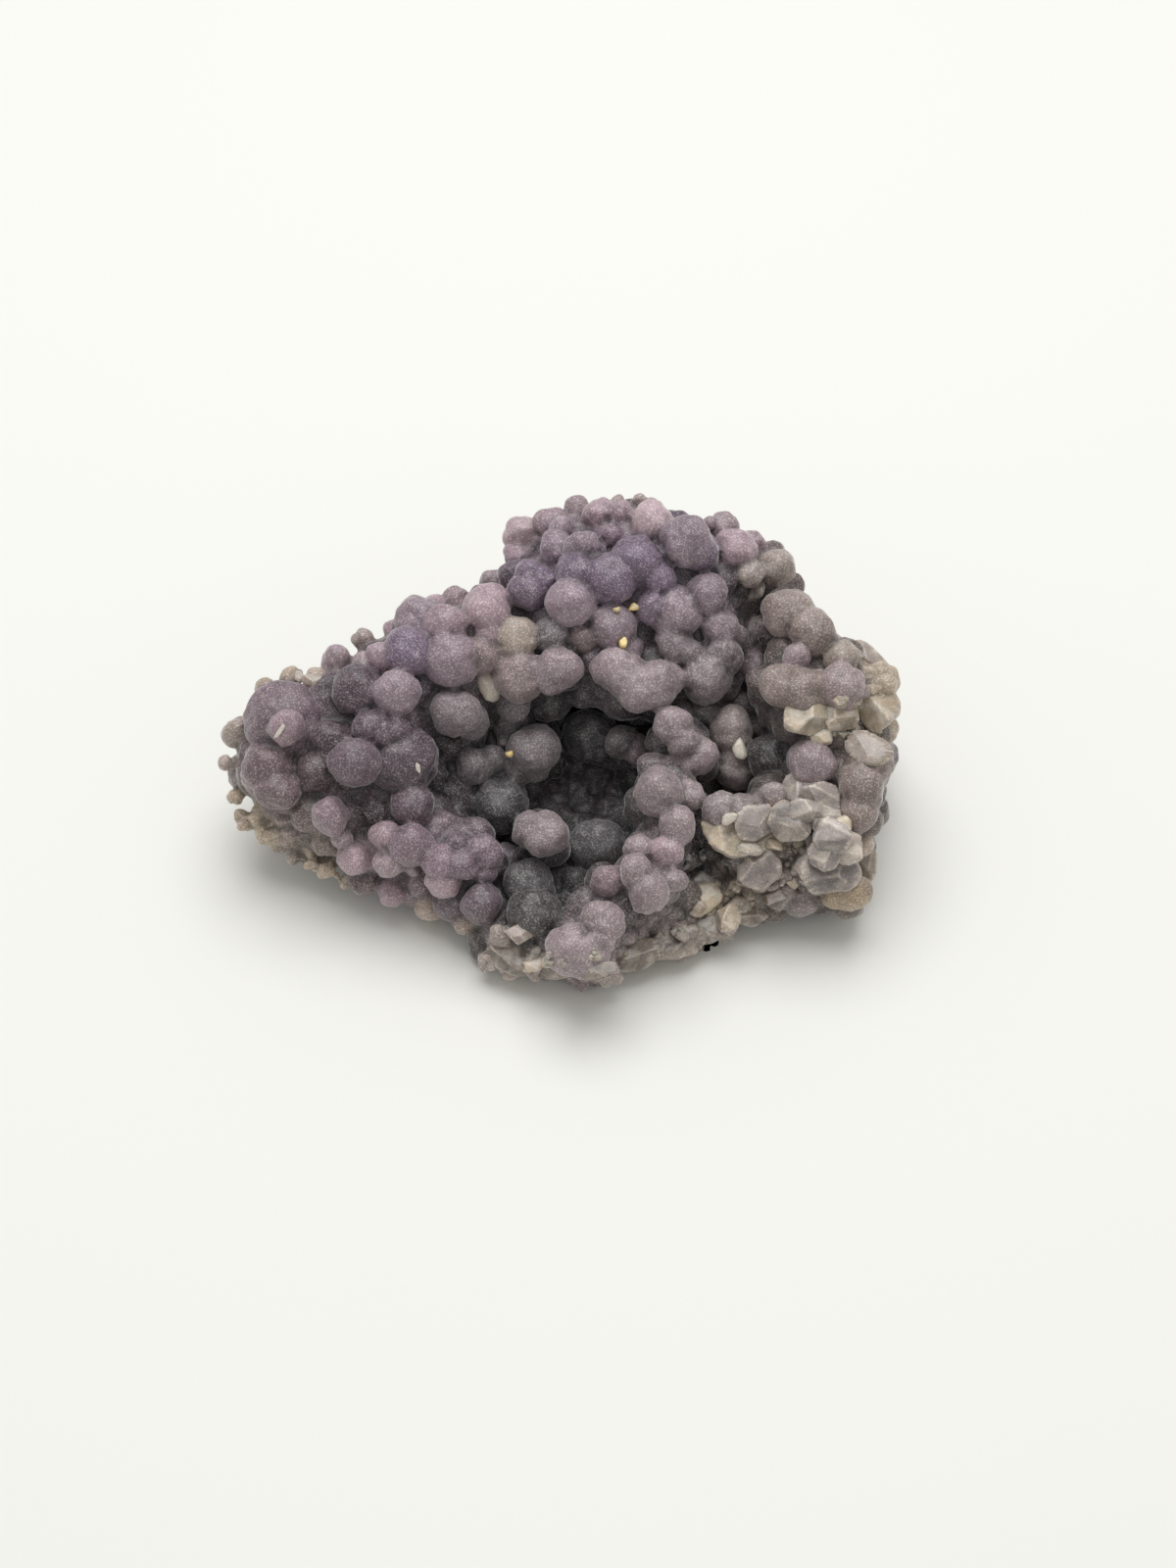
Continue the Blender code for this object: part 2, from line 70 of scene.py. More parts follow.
# The matrix and the crust under the grapes
matrixBody = {
    "voxel": 0.7 * mm,
    "smoothing": 4,
    "drop": 0.9 * mm,  # how far it lies under the heights below
    "columnFrom": -0.05,  # a ball is drawn down to its underside from here, a share of its radius
    # sheet x, sheet y, height of the surface, height of the underside, radius in mm
    "swellings": [
        # the tongue on the left
        (268, 778, 12.5, 6.5, 2.6), (266, 747, 13.0, 8.0, 1.8), (298, 738, 15.0, 7.0, 3.4),
        (300, 800, 12.0, 5.0, 3.6), (298, 842, 8.5, 4.0, 2.4), (345, 715, 16.0, 7.0, 2.8),
        (350, 770, 14.5, 5.0, 3.6), (350, 830, 10.5, 3.5, 3.4), (375, 870, 7.5, 2.2, 2.6),
        (395, 690, 17.0, 6.0, 3.4), (400, 745, 15.0, 4.0, 3.6), (400, 810, 11.0, 2.5, 3.8),
        (410, 860, 9.0, 2.0, 3.4), (425, 900, 5.5, 1.5, 2.4), (432, 670, 17.5, 4.0, 3.4),
        (462, 655, 18.0, 3.0, 3.3), (455, 700, 16.0, 2.0, 3.8), (460, 760, 10.5, 1.0, 3.6),
        (455, 820, 8.0, 1.0, 3.6), (465, 872, 9.0, 1.0, 3.4), (480, 912, 6.5, 0.5, 2.8),
        # the peak at the back
        (506, 640, 18.5, 3.0, 3.2), (510, 680, 16.5, 2.0, 3.6), (550, 596, 20.0, 4.0, 2.9),
        (556, 566, 20.0, 5.0, 2.4), (560, 630, 19.0, 2.0, 3.8), (592, 560, 21.0, 4.0, 3.6),
        (600, 600, 21.0, 2.0, 4.0), (640, 565, 22.0, 3.0, 4.2), (645, 610, 20.5, 1.0, 4.0),
        (690, 572, 22.0, 3.0, 3.8), (700, 615, 19.5, 1.0, 4.0), (742, 584, 20.0, 3.0, 3.0),
        (728, 624, 18.5, 1.0, 3.0), (780, 592, 18.5, 3.0, 2.8), (600, 650, 18.0, 9.0, 3.6),
        (650, 655, 17.0, 9.0, 3.6), (560, 675, 16.5, 9.5, 3.2), (622, 690, 15.5, 10.5, 2.6),
        (660, 700, 15.0, 10.0, 2.6), (705, 665, 16.5, 0.0, 3.8), (735, 668, 15.5, 0.0, 2.8),
        (715, 710, 12.5, 0.0, 3.2),
        # the hollow
        (540, 765, 9.0, 0.0, 2.6), (495, 785, 8.0, 0.0, 2.2), (510, 832, 5.0, 0.0, 3.2),
        (560, 800, 2.8, 0.0, 2.6), (603, 758, 6.5, 0.0, 2.6), (600, 820, 2.6, 0.0, 2.8),
        (645, 765, 8.0, 0.0, 2.4), (640, 822, 3.4, 0.0, 2.6), (555, 852, 8.5, 0.0, 2.2),
        (608, 865, 4.0, 0.0, 2.8), (545, 905, 4.8, 0.0, 3.2), (745, 755, 9.5, 0.0, 2.8),
        (790, 772, 4.5, 0.0, 2.8), (755, 800, 6.0, 0.0, 2.4),
        # the ridge in front of the hollow
        (695, 755, 13.0, 0.0, 2.4), (680, 805, 12.5, 0.0, 2.8), (680, 850, 11.5, 0.0, 2.2),
        (662, 895, 10.5, 0.0, 3.0), (625, 915, 8.0, 0.0, 2.4), (600, 955, 8.0, 0.0, 3.0),
        # the rim on the right
        (806, 630, 19.0, 3.0, 2.2), (824, 660, 18.5, 2.0, 2.6), (812, 700, 17.5, 1.0, 3.4),
        (846, 684, 18.0, 3.0, 2.6), (855, 705, 17.5, 2.0, 3.6), (882, 712, 16.0, 4.0, 2.6),
        (868, 748, 15.0, 3.0, 2.9), (835, 750, 14.5, 0.0, 3.2), (830, 795, 12.0, 0.0, 3.2),
        (866, 792, 13.5, 3.0, 2.8), (860, 832, 11.5, 2.5, 2.6), (738, 845, 10.5, 0.0, 2.2),
        (780, 840, 11.5, 0.0, 3.2), (820, 835, 11.5, 0.0, 3.0), (775, 885, 8.5, 0.0, 2.8),
        (842, 868, 10.0, 1.0, 3.0), (856, 896, 7.0, 2.0, 2.0), (812, 888, 7.0, 1.5, 2.6),
        (740, 895, 5.5, 0.0, 3.2), (720, 928, 4.5, 0.0, 3.0), (764, 908, 5.0, 1.0, 2.2),
        # the lip at the front
        (520, 955, 5.5, 0.0, 2.8), (560, 960, 6.0, 0.0, 3.0), (528, 974, 3.2, 0.0, 1.6),
        (600, 974, 4.5, 0.0, 2.0), (638, 946, 6.0, 0.0, 2.8), (630, 974, 3.5, 0.0, 1.8),
        (685, 940, 5.5, 0.0, 2.4),
    ],
    # behind the peak: x, y, height of the top, height of the underside, radius in mm
    "backSwellings": [
        (-4.2, 10.4, 15.0, 1.0, 3.6), (0.3, 13.4, 17.5, 0.0, 4.0), (5.8, 14.9, 18.5, 0.0, 4.0),
        (11.8, 13.9, 17.5, 0.0, 3.8), (16.8, 11.4, 15.5, 1.0, 3.8), (20.8, 5.9, 14.0, 2.0, 3.4),
        (1.8, 17.4, 10.5, 0.0, 4.0), (8.8, 18.4, 10.0, 0.0, 4.0), (14.8, 16.4, 9.0, 0.0, 3.8),
        (-3.7, 13.9, 8.5, 1.0, 3.6), (-10.2, 6.4, 11.5, 2.0, 3.6), (-16.7, 0.9, 11.0, 3.5, 3.2),
        (-22.2, -4.1, 10.5, 5.0, 2.6), (20.8, 11.4, 8.0, 1.0, 3.6), (25.3, 3.4, 9.5, 3.0, 3.2),
    ],
    # inside and under the crust: x, y, z of the middle and the three half widths in mm
    "masses": [
        (4.8, -2.6, 0.0, 20.0, 15.0, 2.2), (7.8, 10.4, 3.0, 13.0, 8.0, 9.0),
        (-8.2, 3.4, 2.0, 12.0, 9.0, 5.0), (21.8, -2.1, 4.0, 6.0, 8.5, 6.0),
        (1.8, -14.1, 0.0, 10.0, 6.0, 3.2),
    ],
}


# The points and triangles of a ball of radius 1
def unitBall(detail):
    shell = bmesh.new()
    bmesh.ops.create_icosphere(shell, subdivisions=detail, radius=1.0)
    points = np.array([vertex.co[:] for vertex in shell.verts])
    faces = np.array([[vertex.index for vertex in face.verts] for face in shell.faces])
    shell.free()
    return points, faces


balls = {detail: unitBall(detail) for detail in (2, 3, 4)}


# Gathers the points and faces of many shapes for one mesh
class Pile:
    def __init__(self):
        self.points = []
        self.faces = []
        self.count = 0

    def add(self, points, faces):
        self.points.append(points)
        self.faces.append(faces + self.count)
        self.count += len(points)

    def mesh(self, name):
        mesh = bpy.data.meshes.new(name)
        mesh.from_pydata(np.concatenate(self.points).tolist(), [], np.concatenate(self.faces).tolist())
        return mesh


def applied(carrier):
    graph = bpy.context.evaluated_depsgraph_get()
    return bpy.data.meshes.new_from_object(carrier.evaluated_get(graph))


# Drops the loose shells that a remesh leaves inside
def keepLargestShell(mesh):
    shell = bmesh.new()
    shell.from_mesh(mesh)
    left = set(shell.verts)
    groups = []
    while left:
        start = left.pop()
        group = [start]
        reach = [start]
        while reach:
            vertex = reach.pop()
            for edge in vertex.link_edges:
                other = edge.other_vert(vertex)
                if other in left:
                    left.remove(other)
                    group.append(other)
                    reach.append(other)
        groups.append(group)
    groups.sort(key=len)
    for group in groups[:-1]:
        bmesh.ops.delete(shell, geom=group, context="VERTS")
    shell.to_mesh(mesh)
    shell.free()


def oneSkin(mesh, voxel, smoothing):
    carrier = bpy.data.objects.new(mesh.name, mesh)
    bpy.context.scene.collection.objects.link(carrier)
    wrap = carrier.modifiers.new("wrap", "REMESH")
    wrap.mode = "VOXEL"
    wrap.voxel_size = voxel
    if smoothing:
        relax = carrier.modifiers.new("relax", "SMOOTH")
        relax.iterations = smoothing
    made = applied(carrier)
    bpy.data.objects.remove(carrier, do_unlink=True)
    keepLargestShell(made)
    return made


# Cuts a mesh of quads, two triangles each, down to about so many triangles
def thinned(mesh, triangles):
    carrier = bpy.data.objects.new(mesh.name, mesh)
    bpy.context.scene.collection.objects.link(carrier)
    thin = carrier.modifiers.new("thin", "DECIMATE")
    thin.ratio = min(triangles / (2 * len(mesh.polygons)), 1.0)
    thin.use_collapse_triangulate = True
    made = applied(carrier)
    bpy.data.objects.remove(carrier, do_unlink=True)
    return made


def addColumn(pile, middle, radius, underside):
    points, faces = balls[3]
    points = points * radius
    low = points[:, 2] < matrixBody["columnFrom"] * radius
    points[low, 2] -= max(middle.z - radius - underside, 0.0)
    pile.add(points + np.array(middle), faces)


def makeBody():
    pile = Pile()
    drop = matrixBody["drop"]
    for x, y, height, underside, radius in matrixBody["swellings"]:
        sight = sightLine(x, y)
        surface = eye + sight * ((height * mm - eye.z) / sight.z)
        addColumn(pile, surface + sight * (radius * mm + drop), radius * mm, underside * mm - drop)
    for x, y, height, underside, radius in matrixBody["backSwellings"]:
        addColumn(pile, Vector((x, y, height - radius)) * mm, radius * mm, underside * mm - drop)
    points, faces = balls[4]
    for x, y, z, wide, deep, high in matrixBody["masses"]:
        pile.add((points * (wide, deep, high) + (x, y, z)) * mm, faces)
    return oneSkin(pile.mesh("matrix"), matrixBody["voxel"], matrixBody["smoothing"])


body = makeBody()
bodyShell = bmesh.new()
bodyShell.from_mesh(body)
bodyTree = BVHTree.FromBMesh(bodyShell)
bodyShell.free()
print("made the matrix body,", len(body.polygons), "faces")

# The grapes: sheet x, sheet y, radius in sheet units, how far the middle stands out of the
# surface as a share of the radius, and the look
grapes = {
    "shown": [
        # the tongue on the left
        (231, 778, 9, 0.2, "glass"), (248, 712, 8, 0.1, "glass"), (243, 722, 7, 0.1, "glass"),
        (243, 748, 17, 0.1, "glass"), (270, 704, 12, 0.1, "sand"), (297, 692, 12, 0.1, "sand"),
        (322, 692, 10, 0.1, "sand"), (290, 737, 42, -0.65, "plum"), (292, 743, 20, 0.6, "rose"),
        (344, 673, 17, 0.1, "pink"), (370, 676, 11, 0.2, "pink"), (364, 655, 7, 0.2, "glass"),
        (373, 650, 8, 0.2, "glass"), (390, 668, 13, 0.2, "rose"), (405, 707, 24, 0.5, "lilac"),
        (405, 745, 14, 0.1, "winePaintedShade"), (378, 740, 16, 0.5, "winePaintedShade"), (390, 748, 14, 0.4, "winePaintedShade"),
        (362, 778, 24, 0.3, "winePaintedShade"), (365, 705, 26, 0.0, "winePaintedShade"), (275, 785, 30, -0.35, "ember"),
        (283, 806, 21, 0.1, "ember"), (240, 815, 10, 0.1, "sand"), (250, 838, 12, 0.1, "sand"),
        (262, 833, 12, 0.1, "sand"), (272, 850, 12, 0.1, "sand"),
        (300, 876, 9, 0.1, "glass"), (318, 880, 11, 0.1, "sand"), (333, 886, 11, 0.1, "sand"),
        (352, 899, 9, 0.1, "sand"), (336, 832, 20, 0.4, "plum"), (350, 855, 12, 0.5, "pink"),
        (360, 876, 18, 0.2, "rose"), (392, 853, 16, 0.2, "rose"), (421, 821, 20, 0.5, "winePaintedShade"),
        (420, 862, 22, 0.4, "plum"), (397, 880, 16, 0.4, "pink"), (420, 885, 9, 0.4, "pink"),
        (400, 909, 16, 0.1, "rose"), (450, 880, 18, 0.4, "plum"), (468, 862, 13, 0.1, "winePaintedShade"),
        (453, 898, 18, 0.3, "rose"), (472, 882, 17, 0.4, "plum"), (492, 872, 20, 0.3, "plum"),
        (492, 886, 14, 0.4, "plum"), (515, 880, 20, 0.1, "winePaintedShade"), (492, 922, 21, 0.3, "winePaintedShade"),
        (503, 914, 8, 0.9, "pink"), (475, 945, 11, 0.1, "sand"), (440, 925, 14, 0.0, "sand"),
        (410, 775, 35, -0.2, "winePaintedShade"),
        # the ridge behind the tongue
        (402, 642, 12, 0.1, "rose"), (428, 632, 24, 0.0, "lilac"), (443, 620, 13, 0.1, "rose"),
        (465, 612, 14, 0.0, "pink"), (498, 622, 24, 0.1, "rose"), (505, 594, 15, 0.1, "pink"),
        (455, 640, 22, 0.1, "rose"), (418, 665, 24, 0.2, "violet"), (459, 672, 28, 0.1, "lilac"),
        (498, 645, 14, 0.4, "rose"), (490, 668, 20, 0.2, "rust"), (527, 650, 20, 0.4, "milk"),
        (530, 690, 26, 0.1, "rust"), (525, 720, 17, 0.1, "grey"), (465, 727, 24, 0.2, "grey"),
        (480, 735, 18, 0.2, "grey"),
        # the peak
        (532, 545, 19, 0.0, "blush"), (528, 567, 16, 0.1, "rose"), (563, 533, 17, 0.0, "rose"),
        (590, 520, 12, 0.0, "pink"), (613, 525, 17, 0.0, "rose"), (632, 524, 13, 0.0, "rose"),
        (631, 510, 7, 0.0, "glass"), (652, 509, 8, 0.0, "glass"), (664, 514, 8, 0.0, "glass"),
        (665, 534, 21, 0.2, "blush"), (568, 560, 18, 0.4, "lilac"), (572, 540, 13, 0.3, "lilac"),
        (595, 560, 19, 0.4, "lilac"), (608, 562, 10, 0.2, "lilac"), (622, 545, 12, -0.1, "plum"),
        (590, 585, 22, 0.0, "violet"), (622, 590, 28, 0.0, "violet"), (650, 575, 28, 0.0, "violet"),
        (672, 590, 18, 0.3, "violet"), (700, 553, 26, 0.1, "lilac"), (714, 562, 20, 0.1, "violet"),
        (538, 605, 19, 0.5, "violet"), (540, 588, 17, 0.2, "violet"), (553, 592, 14, 0.3, "violet"),
        (583, 614, 24, 0.5, "lilac"), (740, 537, 15, 0.1, "pink"), (722, 534, 7, 0.1, "pink"),
        (750, 560, 20, 0.1, "rose"), (768, 555, 14, 0.0, "rose"),
        # between the peak and the hollow
        (563, 648, 18, 0.1, "slate"), (595, 650, 14, 0.0, "rust"), (625, 640, 24, 0.0, "lilac"),
        (640, 660, 14, 0.2, "lilac"), (665, 620, 16, 0.1, "violet"), (690, 625, 25, 0.0, "lilac"),
        (722, 606, 20, 0.3, "lilac"), (735, 641, 20, 0.3, "lilac"), (748, 650, 13, 0.3, "grey"),
        (688, 655, 19, 0.4, "grey"), (703, 665, 16, 0.3, "grey"), (735, 670, 22, 0.2, "grey"),
        (720, 690, 26, 0.2, "grey"), (770, 680, 18, 0.3, "lilac"),
        (805, 625, 25, 0.1, "rust"), (833, 650, 22, 0.0, "rust"), (861, 673, 19, 0.0, "glass"),
        (792, 579, 19, 0.1, "glass"), (764, 585, 14, 0.2, "glass"),
        (825, 640, 20, 0.2, "rust"), (812, 670, 14, 0.2, "lilac"), (548, 685, 17, 0.7, "pink"),
        (560, 688, 18, 0.7, "pink"),
        (572, 681, 21, 0.7, "pink"), (628, 683, 22, 0.6, "pink"), (640, 690, 22, 0.6, "pink"),
        (655, 700, 27, 0.5, "pink"), (668, 698, 24, 0.6, "pink"),
        (680, 695, 19, 0.7, "pink"),
        # the hollow
        (545, 765, 25, 0.3, "grey"), (530, 785, 17, 0.4, "grey"), (545, 780, 18, 0.3, "grey"),
        (513, 757, 6, 0.9, "grey"),
        (484, 782, 18, 0.4, "grey"), (500, 775, 16, 0.4, "grey"), (603, 752, 28, 0.1, "slate"),
        (635, 757, 18, 0.5, "grey"), (648, 763, 15, 0.4, "rose"), (510, 822, 28, 0.1, "slate"),
        (541, 848, 18, 0.4, "pink"), (556, 852, 23, 0.4, "pink"), (610, 865, 28, 0.2, "slate"),
        (645, 835, 20, 0.1, "slate"), (757, 720, 17, 0.3, "grey"), (720, 728, 14, 0.1, "slate"),
        (745, 745, 24, 0.2, "ice"), (752, 780, 26, 0.1, "ice"), (790, 772, 25, 0.0, "slatePaintedShade"),
        (540, 905, 26, 0.1, "slate"),
        # the ridge in front of the hollow
        (686, 740, 20, 0.6, "pink"), (698, 757, 17, 0.5, "pink"), (712, 770, 20, 0.4, "pink"),
        (672, 808, 26, 0.4, "pink"),
        (704, 812, 14, 0.2, "pink"), (692, 842, 20, 0.3, "pink"), (680, 870, 18, 0.0, "rose"),
        (652, 866, 14, 0.5, "pink"), (648, 890, 17, 0.5, "pink"), (662, 912, 21, 0.4, "pink"),
        (688, 898, 14, 0.5, "pink"), (620, 900, 17, 0.2, "rose"), (615, 940, 20, 0.4, "pink"),
        (584, 968, 26, 0.2, "pink"), (598, 972, 24, 0.2, "pink"), (610, 962, 18, 0.3, "pink"),
        # the rim on the right
        (797, 700, 21, 0.1, "rust"), (817, 704, 22, 0.1, "rust"), (838, 702, 18, 0.1, "rust"),
        (860, 700, 24, 0.1, "lilac"), (895, 698, 24, -0.1, "sand"),
        (903, 745, 14, 0.0, "sand"), (828, 780, 23, 0.3, "lilac"), (886, 780, 23, -0.1, "rust"),
        (880, 800, 25, -0.1, "rust"),
        (876, 828, 20, 0.0, "rust"), (735, 828, 19, 0.2, "grey"), (757, 828, 17, 0.2, "grey"),
        (790, 812, 13, 0.1, "grey"), (880, 862, 11, 0.1, "sand"), (881, 880, 12, 0.0, "sand"),
        (868, 911, 19, 0.1, "amber"), (852, 914, 13, 0.1, "amber"), (818, 918, 18, 0.0, "grey"),
        (799, 914, 14, 0.0, "grey"),
        # the lip at the front
        (510, 955, 12, 0.2, "glass"), (500, 978, 13, 0.0, "glass"), (520, 988, 13, 0.0, "glass"),
        (545, 988, 14, 0.0, "glass"), (545, 935, 28, 0.0, "slatePaintedShade"),
        (620, 992, 16, -0.1, "glass"), (740, 945, 16, -0.1, "glass"),
    ],
    "swell": 1.05,  # makes up for what the smoothing takes
    "prouder": 0.2,  # how much farther out all of them stand, a share of the radius
    "backCount": 170,
    "backSize": (1.3 * mm, 2.5 * mm),
    "backSpacing": 2.5 * mm,
    "backRise": 0.15,
    "backLowest": 2.5 * mm,
    "backSteepest": -0.45,  # how far a face may look down and still carry one
    "backTurned": 0.12,  # how far a face may look out of the sheet and still carry one
    "backSeed": 7,
    "fillSize": (1.4 * mm, 2.2 * mm),  # low ones between the others
    "fillRise": -0.4,
    "fillOverlap": 0.7,
    "fillLowest": 1.2 * mm,
    "fillSteepest": -0.6,
    "fillRock": 0.5,  # how far in the bare rock there are none
    "fillSeed": 3,
    "fineSize": 1.5 * mm,  # radius above which a grape has the finest mesh
    "squash": (0.9, 1.08),
    "squashSeed": 11,
    "skinVoxel": 0.18 * mm,
    "skinSmoothing": 1,
    "lumps": [(1.8 * mm, 0.34 * mm), (0.7 * mm, 0.13 * mm)],  # size and height of its unevenness
    # where bare broken rock shows: sheet x, sheet y, reach in sheet units
    "rock": [
        (510, 980, 26), (545, 985, 30), (585, 998, 24), (640, 972, 34), (685, 955, 36), (725, 945, 34),
        (750, 925, 26), (775, 905, 20), (665, 930, 24), (725, 885, 24), (800, 880, 22), (885, 700, 26),
        (600, 800, 46), (560, 815, 30), (285, 855, 26), (330, 885, 24), (245, 832, 18),
    ],
    "rockFull": 1.6,  # how strong the rock is at its middle, where anything over 1 counts as 1
    "rockFrom": 0.1,  # where the crags begin
    "rockSize": 1.5 * mm,
    "rockHeight": 0.9 * mm,
    "rockLevel": 0.4,  # the width of a crag that neither rises nor sinks, a share of rockSize
    "triangles": 570000,
    "parts": ["grapeCrustLeft", "grapeCrustMiddle", "grapeCrustRight"],
}


def nearestOnLine(sight):
    best = None
    steps = sheet["searchSteps"]
    reach = sheet["searchReach"]
    for step in range(steps):
        point = eye + sight * (sheet["eyeDistance"] + (step / steps * 2 * reach - reach) * mm)
        distance = bodyTree.find_nearest(point)[3]
        if best is None or distance < best[0]:
            best = (distance, point)
    return best[1]


# Where the sight line through a place on the sheet meets the body, or comes nearest to it
def onBody(x, y):
    sight = sightLine(x, y)
    return bodyTree.ray_cast(eye, sight)[0] or nearestOnLine(sight)


def placeShown():
    placed = []
    for x, y, radius, rise, look in grapes["shown"]:
        sight = sightLine(x, y)
        hit = bodyTree.ray_cast(eye, sight)[0]
        middle = hit if hit is not None else nearestOnLine(sight)
        size = radius * sheet["unit"] * (middle - eye).length / sheet["eyeDistance"]
        if hit is not None:
            size *= grapes["swell"]
            middle = middle - sight * (size * (rise + grapes["prouder"]))
        placed.append((middle, size, look))
    return placed


# True if the body hides a ball from the sheet, its edges too
def hiddenBall(middle, size):
    for edge in (upward * size, rightward * size, rightward * -size, upward * -size):
        start = middle + edge
        if bodyTree.ray_cast(start, (eye - start).normalized())[0] is None:
            return False
    return True


rockMiddles = [onBody(x, y) for x, y, reach in grapes["rock"]]


# How far a point lies in the bare rock, from 0 to 1
def rockShare(point):
    share = 0.0
    for middle, (x, y, reach) in zip(rockMiddles, grapes["rock"]):
        gap = (point - middle).length / (reach * sheet["unit"])
        share = max(share, grapes["rockFull"] * math.exp(-gap ** 2))
    return min(share, 1.0)


def placeBack(taken):
    draw = random.Random(grapes["backSeed"])
    hidden = []
    for face in body.polygons:
        above = face.center.z > grapes["backLowest"] and face.normal.z > grapes["backSteepest"]
        if face.normal.dot(outward) < grapes["backTurned"] and above:
            hidden.append(face)
    draw.shuffle(hidden)
    placed = []
    middles = [place[0] for place in taken]
    for face in hidden:
        size = draw.uniform(*grapes["backSize"])
        middle = face.center + face.normal * (grapes["backRise"] * size)
        free = all((other - middle).length >= grapes["backSpacing"] for other in middles)
        if free and hiddenBall(middle, size):
            placed.append((middle, size, "back"))
            middles.append(middle)
        if len(placed) == grapes["backCount"]:
            break
    return placed


# Small grapes where the body still shows between the others
def placeFill(taken):
    draw = random.Random(grapes["fillSeed"])
    middles = np.array([place[0][:] for place in taken])
    sizes = np.array([place[1] for place in taken])
    lowest, steepest = grapes["fillLowest"], grapes["fillSteepest"]
    faces = [face for face in body.polygons if face.center.z > lowest and face.normal.z > steepest]
    draw.shuffle(faces)
    placed = []
    for face in faces:
        size = draw.uniform(*grapes["fillSize"])
        middle = face.center + face.normal * (grapes["fillRise"] * size)
        gaps = np.linalg.norm(middles - np.array(middle), axis=1) - sizes - grapes["fillOverlap"] * size
        if gaps.min() > 0 and rockShare(middle) < grapes["fillRock"]:
            placed.append((middle, size, "fill"))
            middles = np.vstack([middles, middle[:]])
            sizes = np.append(sizes, size)
    return placed


placed = placeShown()
placed += placeBack(placed)
placed += placeFill(placed)
print("placed", len(placed), "grapes")


def makeSkin():
    pile = Pile()
    bodyPoints = np.array([vertex.co[:] for vertex in body.vertices])
    for face in body.polygons:
        if len(face.vertices) != 4:
            raise ValueError("the body's skin has a face that isn't a quad")
    quads = np.array([face.vertices[:] for face in body.polygons])
    pile.add(bodyPoints, np.concatenate([quads[:, [0, 1, 2]], quads[:, [0, 2, 3]]]))
    draw = random.Random(grapes["squashSeed"])
    for middle, size, look in placed:
        points, faces = balls[4 if size > grapes["fineSize"] else 3]
        squash = np.array([draw.uniform(*grapes["squash"]) for axis in range(3)])
        pile.add(points * squash * size + np.array(middle), faces)
    return oneSkin(pile.mesh("grapeCrust"), grapes["skinVoxel"], grapes["skinSmoothing"])


# Pushes the points of a mesh along their normals by soft and fine noise
def roughen(mesh):
    places = [vertex.co.copy() for vertex in mesh.vertices]
    normals = [vertex.normal.copy() for vertex in mesh.vertices]
    moved = []
    for place, normal in zip(places, normals):
        push = sum(height * noise.noise(place / size) for size, height in grapes["lumps"])
        share = rockShare(place)
        if share > grapes["rockFrom"]:
            nearest, second = noise.voronoi(place / grapes["rockSize"])[0][:2]
            push += share * grapes["rockHeight"] * (second - nearest - grapes["rockLevel"])
        moved.extend(place + normal * push)
    mesh.vertices.foreach_set("co", moved)
    mesh.update()


skin = makeSkin()
print("wrapped the crust in one skin,", len(skin.polygons), "faces")
skin = thinned(skin, grapes["triangles"])
roughen(skin)
for vertex in skin.vertices:
    vertex.co.z = max(vertex.co.z, 0.0)
print("thinned the skin to", len(skin.polygons), "triangles")

tintNames = ["violet", "wine", "rose", "slate", "sand", "pale", "ochre"]
# the shade layer is each point's lightness, its own tone together with painted shade; the layer after it
# holds painted shade in creases and painted light on crests
layerNames = tintNames + ["shade", "creaseShadeCrestLight", "fresh"]

# How much of each tint a look has, in the order of tintNames
looks = {
    "lilac": (0.25, 0.0, 0.25, 0.1, 0.0, 0.05, 0.0),
    "violet": (1.0, 0.0, 0.0, 0.0, 0.0, 0.0, 0.0),
    "plum": (0.4, 0.4, 0.2, 0.0, 0.0, 0.0, 0.0),
    # the next two looks are for grapes in shaded places and carry painted shade in lookShades
    "winePaintedShade": (0.5, 0.5, 0.0, 0.1, 0.0, 0.0, 0.0),
    "slatePaintedShade": (0.2, 0.0, 0.0, 0.9, 0.0, 0.0, 0.0),
    "rose": (0.15, 0.0, 0.8, 0.0, 0.0, 0.05, 0.0),
    "pink": (0.2, 0.0, 0.3, 0.15, 0.1, 0.12, 0.0),
    "blush": (0.1, 0.0, 0.9, 0.0, 0.0, 0.25, 0.0),
    "grey": (0.1, 0.0, 0.0, 0.45, 0.0, 0.1, 0.0),
    "slate": (0.0, 0.0, 0.0, 1.0, 0.0, 0.0, 0.0),
    "rust": (0.1, 0.3, 0.0, 0.15, 0.4, 0.0, 0.0),
    "ember": (0.2, 0.8, 0.1, 0.0, 0.15, 0.0, 0.0),
    "sand": (0.0, 0.0, 0.1, 0.1, 0.9, 0.15, 0.0),
    "glass": (0.0, 0.0, 0.0, 0.25, 0.4, 0.35, 0.0),
    "ice": (0.0, 0.0, 0.0, 0.4, 0.15, 0.35, 0.0),
    "cream": (0.0, 0.0, 0.0, 0.0, 0.9, 0.6, 0.1),
    "amber": (0.0, 0.0, 0.2, 0.0, 0.8, 0.0, 0.3),
    "white": (0.0, 0.0, 0.0, 0.0, 0.0, 1.0, 0.0),
    "milk": (0.0, 0.0, 0.0, 0.0, 0.8, 0.5, 0.0),
    "drab": (0.0, 0.0, 0.0, 0.55, 0.5, 0.1, 0.0),
    "gold": (0.0, 0.0, 0.0, 0.0, 0.0, 0.0, 1.0),
}

# How much lighter a look is than the others. The pale looks are lighter by their own colour. The looks
# given to grapes in shaded gaps, hollows and low places are darker as painted shade; in ember the
# darkness is partly painted shade and partly its own.
lookShades = {
    "plum": -0.5, "winePaintedShade": -1.2, "ember": -0.7, "slatePaintedShade": -2.1, "blush": 0.6, "sand": 1.0, "ice": 0.5,
    "milk": 0.9, "cream": 1.1, "white": 1.8, "gold": 1.0, "amber": 0.4, "glass": 0.4,
}

